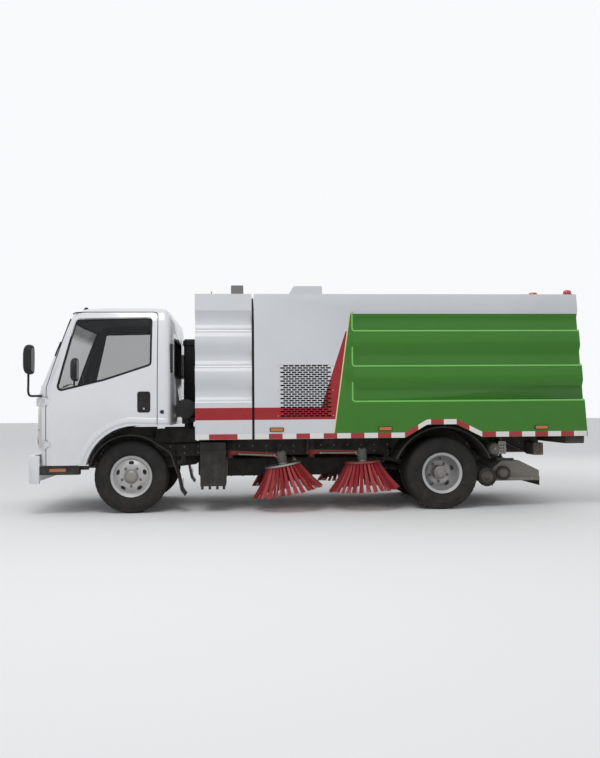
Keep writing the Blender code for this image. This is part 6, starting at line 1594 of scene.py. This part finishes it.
# Brush arms. Red painted box-section arms on leaning pins, each with a grey hydraulic motor
# over its brush, a zinc-plated bracket, two hoses' end fittings and a silver link rod.
yellow_zinc = plain("yellow_zinc_plate", (0.36, 0.22, 0.07), 0.42, 0.35, 350.0, 0.15, 0.6)
red_frame_paint = plain("red_frame_paint", (0.30, 0.010, 0.010), 0.45, 0.22, 200.0, 0.2)


def add_rod(work, start, end, radius, steps=12, paint=0):
    run = Vector(end) - Vector(start)
    add_turned(work, ((0, radius), (run.length, radius)), start, run, steps, paint)


def is_motor(point, centre, up, reach):
    arm = point - centre
    along = arm.dot(up)
    return along > 0 and (arm - up * along).length < reach


brush_rows = (("front", 1.632, 1.052, 0.500, 10), ("rear", 2.512, 1.952, 0.520, 3))
for row_name, brush_x, pin_x, plate_z, tilt in brush_rows:
    lean = math.radians(tilt)
    up = Vector((-math.sin(lean), 0, math.cos(lean)))
    for name, side in both_sides:
        node = f"brush_arm_{row_name}_{name}"
        centre = spot(brush_x, side * 0.720, plate_z)
        skin = refined(node, red_frame_paint, 30)
        skin.data.materials.append(grey_paint)
        for face in skin.data.polygons:
            if is_motor(face.center, centre, up, 0.0535) and (face.center - centre).dot(up) < 0.131:
                face.material_index = 1
        work = bmesh.new()
        for level, radius in ((0.034, 0.0545), (0.060, 0.0545), (0.100, 0.0545)):
            add_turned(
                work, ((level, 0.045), (level, radius), (level + 0.010, radius), (level + 0.010, 0.045)),
                centre, up, 32, 0
            )
        add_turned(work, ((0.130, 0.040), (0.139, 0.038), (0.142, 0.030), (0.142, 0.0)), centre, up, 28, 0)
        for i in range(4):
            angle = math.radians(45 + 90 * i)
            bolt = centre + 0.036 * (
                math.cos(angle) * up.cross(Vector((0, 1, 0))) + math.sin(angle) * Vector((0, 1, 0))
            )
            add_turned(work, ((0.128, 0.0075), (0.146, 0.0075), (0.147, 0.005)), bolt, up, 6, 1)
        for k in (-1, 1):
            port = centre + up * 0.075 + Vector((-0.040, k * 0.022, 0))
            add_turned(
                work, ((0, 0.012), (0.016, 0.012), (0.017, 0.009), (0.034, 0.009)), port, (-1, 0, 0.25), 6,
                1
            )
        pin = spot(pin_x, side * 0.660, 0.630)
        link_end = centre + up * 0.105 + Vector((-0.052, side * 0.030, 0))
        along = (link_end - pin).normalized()
        start = pin + along * 0.10 + Vector((0, side * 0.030, -0.012))
        stop = link_end + Vector((-0.02, 0, -0.006))
        add_rod(work, start, stop, 0.009, 12, 1)
        for place in (start, stop):
            add_turned(work, ((-0.010, 0.016), (0.010, 0.016)), place, (0, 0, 1), 14, 1)
        piece_from(node + "_motor", node, work, [grey_paint, steel_zinc], 35)
        work = bmesh.new()
        low, high = sorted((side * 0.5205, side * 0.5255))
        foot, top = 0.598, 0.752
        plate = ((pin_x - 0.045, foot), (pin_x + 0.045, foot), (pin_x + 0.030, top), (pin_x - 0.030, top))
        plate = rounded(moved(plate), 0.010, 4)
        add_prism(work, plate, low, high, "Y", 0)
        for z in (0.615, 0.735):
            for x in (pin_x - 0.024, pin_x + 0.024):
                add_stud(work, (0.009, 0.008, 0.009, 0.007), spot(x, side * 0.5255, z), (0, side, 0), 6, 1)
        piece_from(f"arm_bracket_{row_name}_{name}", "chassis", work, [yellow_zinc, steel_zinc], 35)

# Brushes. A steel disc with bored holes round its rim, each holding a folded bunch of
# stiff red bristle that flares down and out; the tips are worn uneven and dirty.
bristle_red, tree, group = surface("red_bristle", (0.5, 0.05, 0.07), 0.55, 0.12, 400.0, 0.2)
add, feed, maths, mixed, noise_of = tree_tools(tree)
place = add("ShaderNodeTexCoord").outputs["Object"]
shade = noise_of(place, 60.0, 2.0)
feed(group.inputs["Color"], mixed(shade, (0.24, 0.006, 0.012, 1), (0.60, 0.026, 0.042, 1)))
plate_silver = plain("worn_plate_steel", (0.38, 0.38, 0.37), 0.4, 0.3, 200.0, 0.15, 0.7)


def shaken(seed):
    """A repeatable number from 0 to 1 for a whole number."""
    value = math.sin(seed * 12.9898 + 4.1414) * 43758.5453
    return value - math.floor(value)


for row_name, brush_x, pin_x, plate_z, tilt in brush_rows:
    lean = math.radians(tilt)
    up = Vector((-math.sin(lean), 0, math.cos(lean)))
    across = Vector((0, 1, 0))
    along = across.cross(up)
    for name, side in both_sides:
        node = f"brush_{row_name}_{name}"
        centre = spot(brush_x, side * 0.720, plate_z)
        work = bmesh.new()
        profile = (
            (0.0215, 0.0), (0.0215, 0.048), (0.018, 0.051), (0.001, 0.052), (0.000, 0.190), (0.004, 0.193),
            (0.004, 0.198),
            (-0.002, 0.200), (-0.014, 0.200), (-0.016, 0.196), (-0.014, 0.150), (-0.014, 0.0),
        )
        add_turned(work, profile, centre, up, 64, 1)
        for face in work.faces:
            out = (face.calc_center_median() - centre).length
            face.material_index = 2 if row_name == "rear" and out > 0.185 else 1
        bunches = 30
        for i in range(bunches):
            turn = 2 * math.pi * (i + 0.5) / bunches
            out = math.cos(turn) * along + math.sin(turn) * across
            beside = math.cos(turn) * across - math.sin(turn) * along
            bent = 0.010 * (shaken(i * 3.7 + side) - 0.5)
            worn = 0.016 * (shaken(i * 5.3 + brush_x) - 0.5)
            for k in range(30):
                seed = i * 37 + k + brush_x * 100 + side
                a, b, c, d = (shaken(seed + 0.37 * j) - 0.5 for j in range(4))
                root = centre + out * (0.172 + 0.016 * a) + beside * 0.016 * b - up * 0.010
                reach = 0.372 + 0.026 * a
                length = 0.298 + worn + 0.008 * c
                sweep = bent + 0.034 * b + 0.006 * d
                points = []
                for share in (0, 0.35, 0.7, 1):
                    flare = (reach - 0.172) * (0.75 * share + 0.25 * share ** 2)
                    points.append(root + out * flare + beside * sweep * share - up * length * share)
                rings = []
                for point, thick in zip(points, (0.0030, 0.0030, 0.0030, 0.0024)):
                    rings.append([])
                    for angle in (turn, turn + 2.094, turn + 4.188):
                        way = math.cos(angle) * out + math.sin(angle) * beside
                        rings[-1].append(work.verts.new(point + thick * way))
                join_rings(work, rings)
                work.faces.new(rings[-1]).material_index = 0
        brush = piece_from(node + "_bristles", node, work, [bristle_red, plate_silver, red_frame_paint], 50)
        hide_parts(node)

# Suction nozzle. A grey welded hood across the road behind the rear wheels, with rubber
# flaps bolted along its foot, riding on small support wheels below a telescoping collar.
refined("suction_nozzle", grey_paint, 30)
refined("suction_duct", black_plastic, 30)
work = bmesh.new()
for x, thick in ((3.953, 0.006), (4.480, 0.006)):
    for i in range(8):
        low = -0.785 + i * 0.19675
        add_box(work, spot(x, low, 0.235), spot(x + thick, low + 0.192, 0.335), 0)
        for k in (0.045, 0.147):
            way = -1 if x < 4.2 else 1
            face_x = x if way < 0 else x + thick
            add_stud(work, (0.010, 0.004, 0.005, 0.006), spot(face_x, low + k, 0.318), (way, 0, 0), 6, 1)
    strip = x - 0.003 if x < 4.2 else x + thick
    add_box(work, spot(strip, -0.785, 0.307), spot(strip + 0.003, 0.785, 0.329), 1)
for side in (-1, 1):
    rib = moved(plate_line(4.10, 0.292, 4.44, 0.330, 0.006, 3))
    add_prism(work, rib, side * 0.7905, side * 0.7945, "Y", 2)
    for x in (4.16, 4.28, 4.40):
        add_turned(work, ((0, 0.008), (0.005, 0.008)), spot(x, side * 0.7945, 0.311), (0, side, 0), 6, 1)
for y in (-0.60, -0.20, 0.20, 0.60):
    add_faces(work, [
        (spot(x, 0, 0).x, y + wide, z) for wide in (-0.005, 0.005)
        for x, z in ((4.062, 0.508), (4.258, 0.508), (4.258, 0.528), (4.070, 0.528))
    ], block_faces, 2)
piece_from("nozzle_flaps", "suction_nozzle", work, [rubber_black, steel_zinc, grey_paint], 35, 0.0008)
for row_name, x, z, radius in (("fore", 3.875, 0.340, 0.105), ("aft", 4.060, 0.380, 0.078)):
    for name, side in both_sides:
        node = f"nozzle_wheel_{row_name}_{name}"
        work = bmesh.new()
        profile = (
            (0.0, 0.0135), (0.0, radius - 0.012), (0.004, radius - 0.004), (0.010, radius), (0.040, radius),
            (0.046, radius - 0.004), (0.050, radius - 0.012), (0.049, radius * 0.66), (0.0495, radius * 0.62),
        )
        centre = spot(x, side * 0.812, z)
        add_turned(work, profile, centre, (0, side, 0), 44, 0, closed=True)
        disc = (
            (0.0465, radius * 0.70), (0.0495, radius * 0.66), (0.044, radius * 0.60), (0.044, radius * 0.36),
            (0.052, radius * 0.30), (0.0555, radius * 0.18), (0.056, 0.0),
        )
        add_turned(work, disc, centre, (0, side, 0), 36, 1)
        wheel = piece_from(node + "_rolled", node, work, [rubber_black, frame_black], 35)
        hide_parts(node)

# Air and hydraulic gear behind the rear axle. A ribbed grey reservoir on straps, a bracket plate
# whose drilled holes are near-black discs of painted shade, a slanting splash plate and a brown
# junction box, all bolted to the rails.
brown_box = plain("brown_junction_box", (0.10, 0.070, 0.050), 0.55, 0.5, 150.0, 0.3)
for name, side in both_sides:
    work = bmesh.new()
    profile = [(0.40, 0.0), (0.40, 0.050), (0.408, 0.060)]
    for i in range(12):
        y = 0.412 + i * 0.030
        profile += [(y, 0.062), (y + 0.004, 0.067), (y + 0.016, 0.067), (y + 0.020, 0.062)]
    profile += [(0.775, 0.060), (0.785, 0.048), (0.787, 0.0)]
    add_turned(work, profile, spot(3.985, 0, 0.645), (0, side, 0), 40, 0)
    add_turned(
        work, ((0.787, 0.014), (0.800, 0.014), (0.802, 0.010)), spot(3.985, 0, 0.645), (0, side, 0), 6, 1
    )
    add_box(work, spot(3.925, side * 0.380, 0.600), spot(4.045, side * 0.405, 0.690), 1)
    outline = moved(plate_line(4.085, 0.575, 4.172, 0.718, 0.008, 3))
    add_prism(work, outline, side * 0.600, side * 0.606, "Y", 1)
    add_box(work, spot(4.085, side * 0.380, 0.706), spot(4.172, side * 0.604, 0.716), 1)
    # The drilled holes are flat near-black discs on the plate: painted shade.
    for x in (4.115, 4.145):
        for z in (0.605, 0.640, 0.675):
            add_turned(work, ((0, 0.008), (0.0008, 0.008)), spot(x, side * 0.606, z), (0, side, 0), 16, 2)
    piece_from("air_reservoir_" + name, "chassis", work, [grey_paint, steel_zinc, painted_shade_black], 35, 0.0008)
    work = bmesh.new()
    outline = moved(plate_line(4.475, 0.560, 4.590, 0.700, 0.012, 4))
    add_prism(work, outline, side * 0.380, side * 0.640, "Y", 0)
    add_prism(work, rounded(grown(outline[::6], -0.014), 0.008, 3), side * 0.640, side * 0.645, "Y", 0)
    for x, z in ((4.492, 0.577), (4.573, 0.577), (4.492, 0.683), (4.573, 0.683)):
        add_stud(work, (0.006, 0.003, 0.004, 0.003), spot(x, side * 0.640, z), (0, side, 0), 10, 1)
    piece_from("junction_box_" + name, "chassis", work, [brown_box, steel_zinc], 35, 0.002)
    work = bmesh.new()
    line = ((4.20, 0.700), (4.46, 0.575), (4.46, 0.581), (4.20, 0.706))
    add_faces(work, [spot(x, side * y, z) for y in (0.380, 0.420) for x, z in line], block_faces)
    piece_from("splash_plate_" + name, "chassis", work, [grey_paint], 35, 0.001)
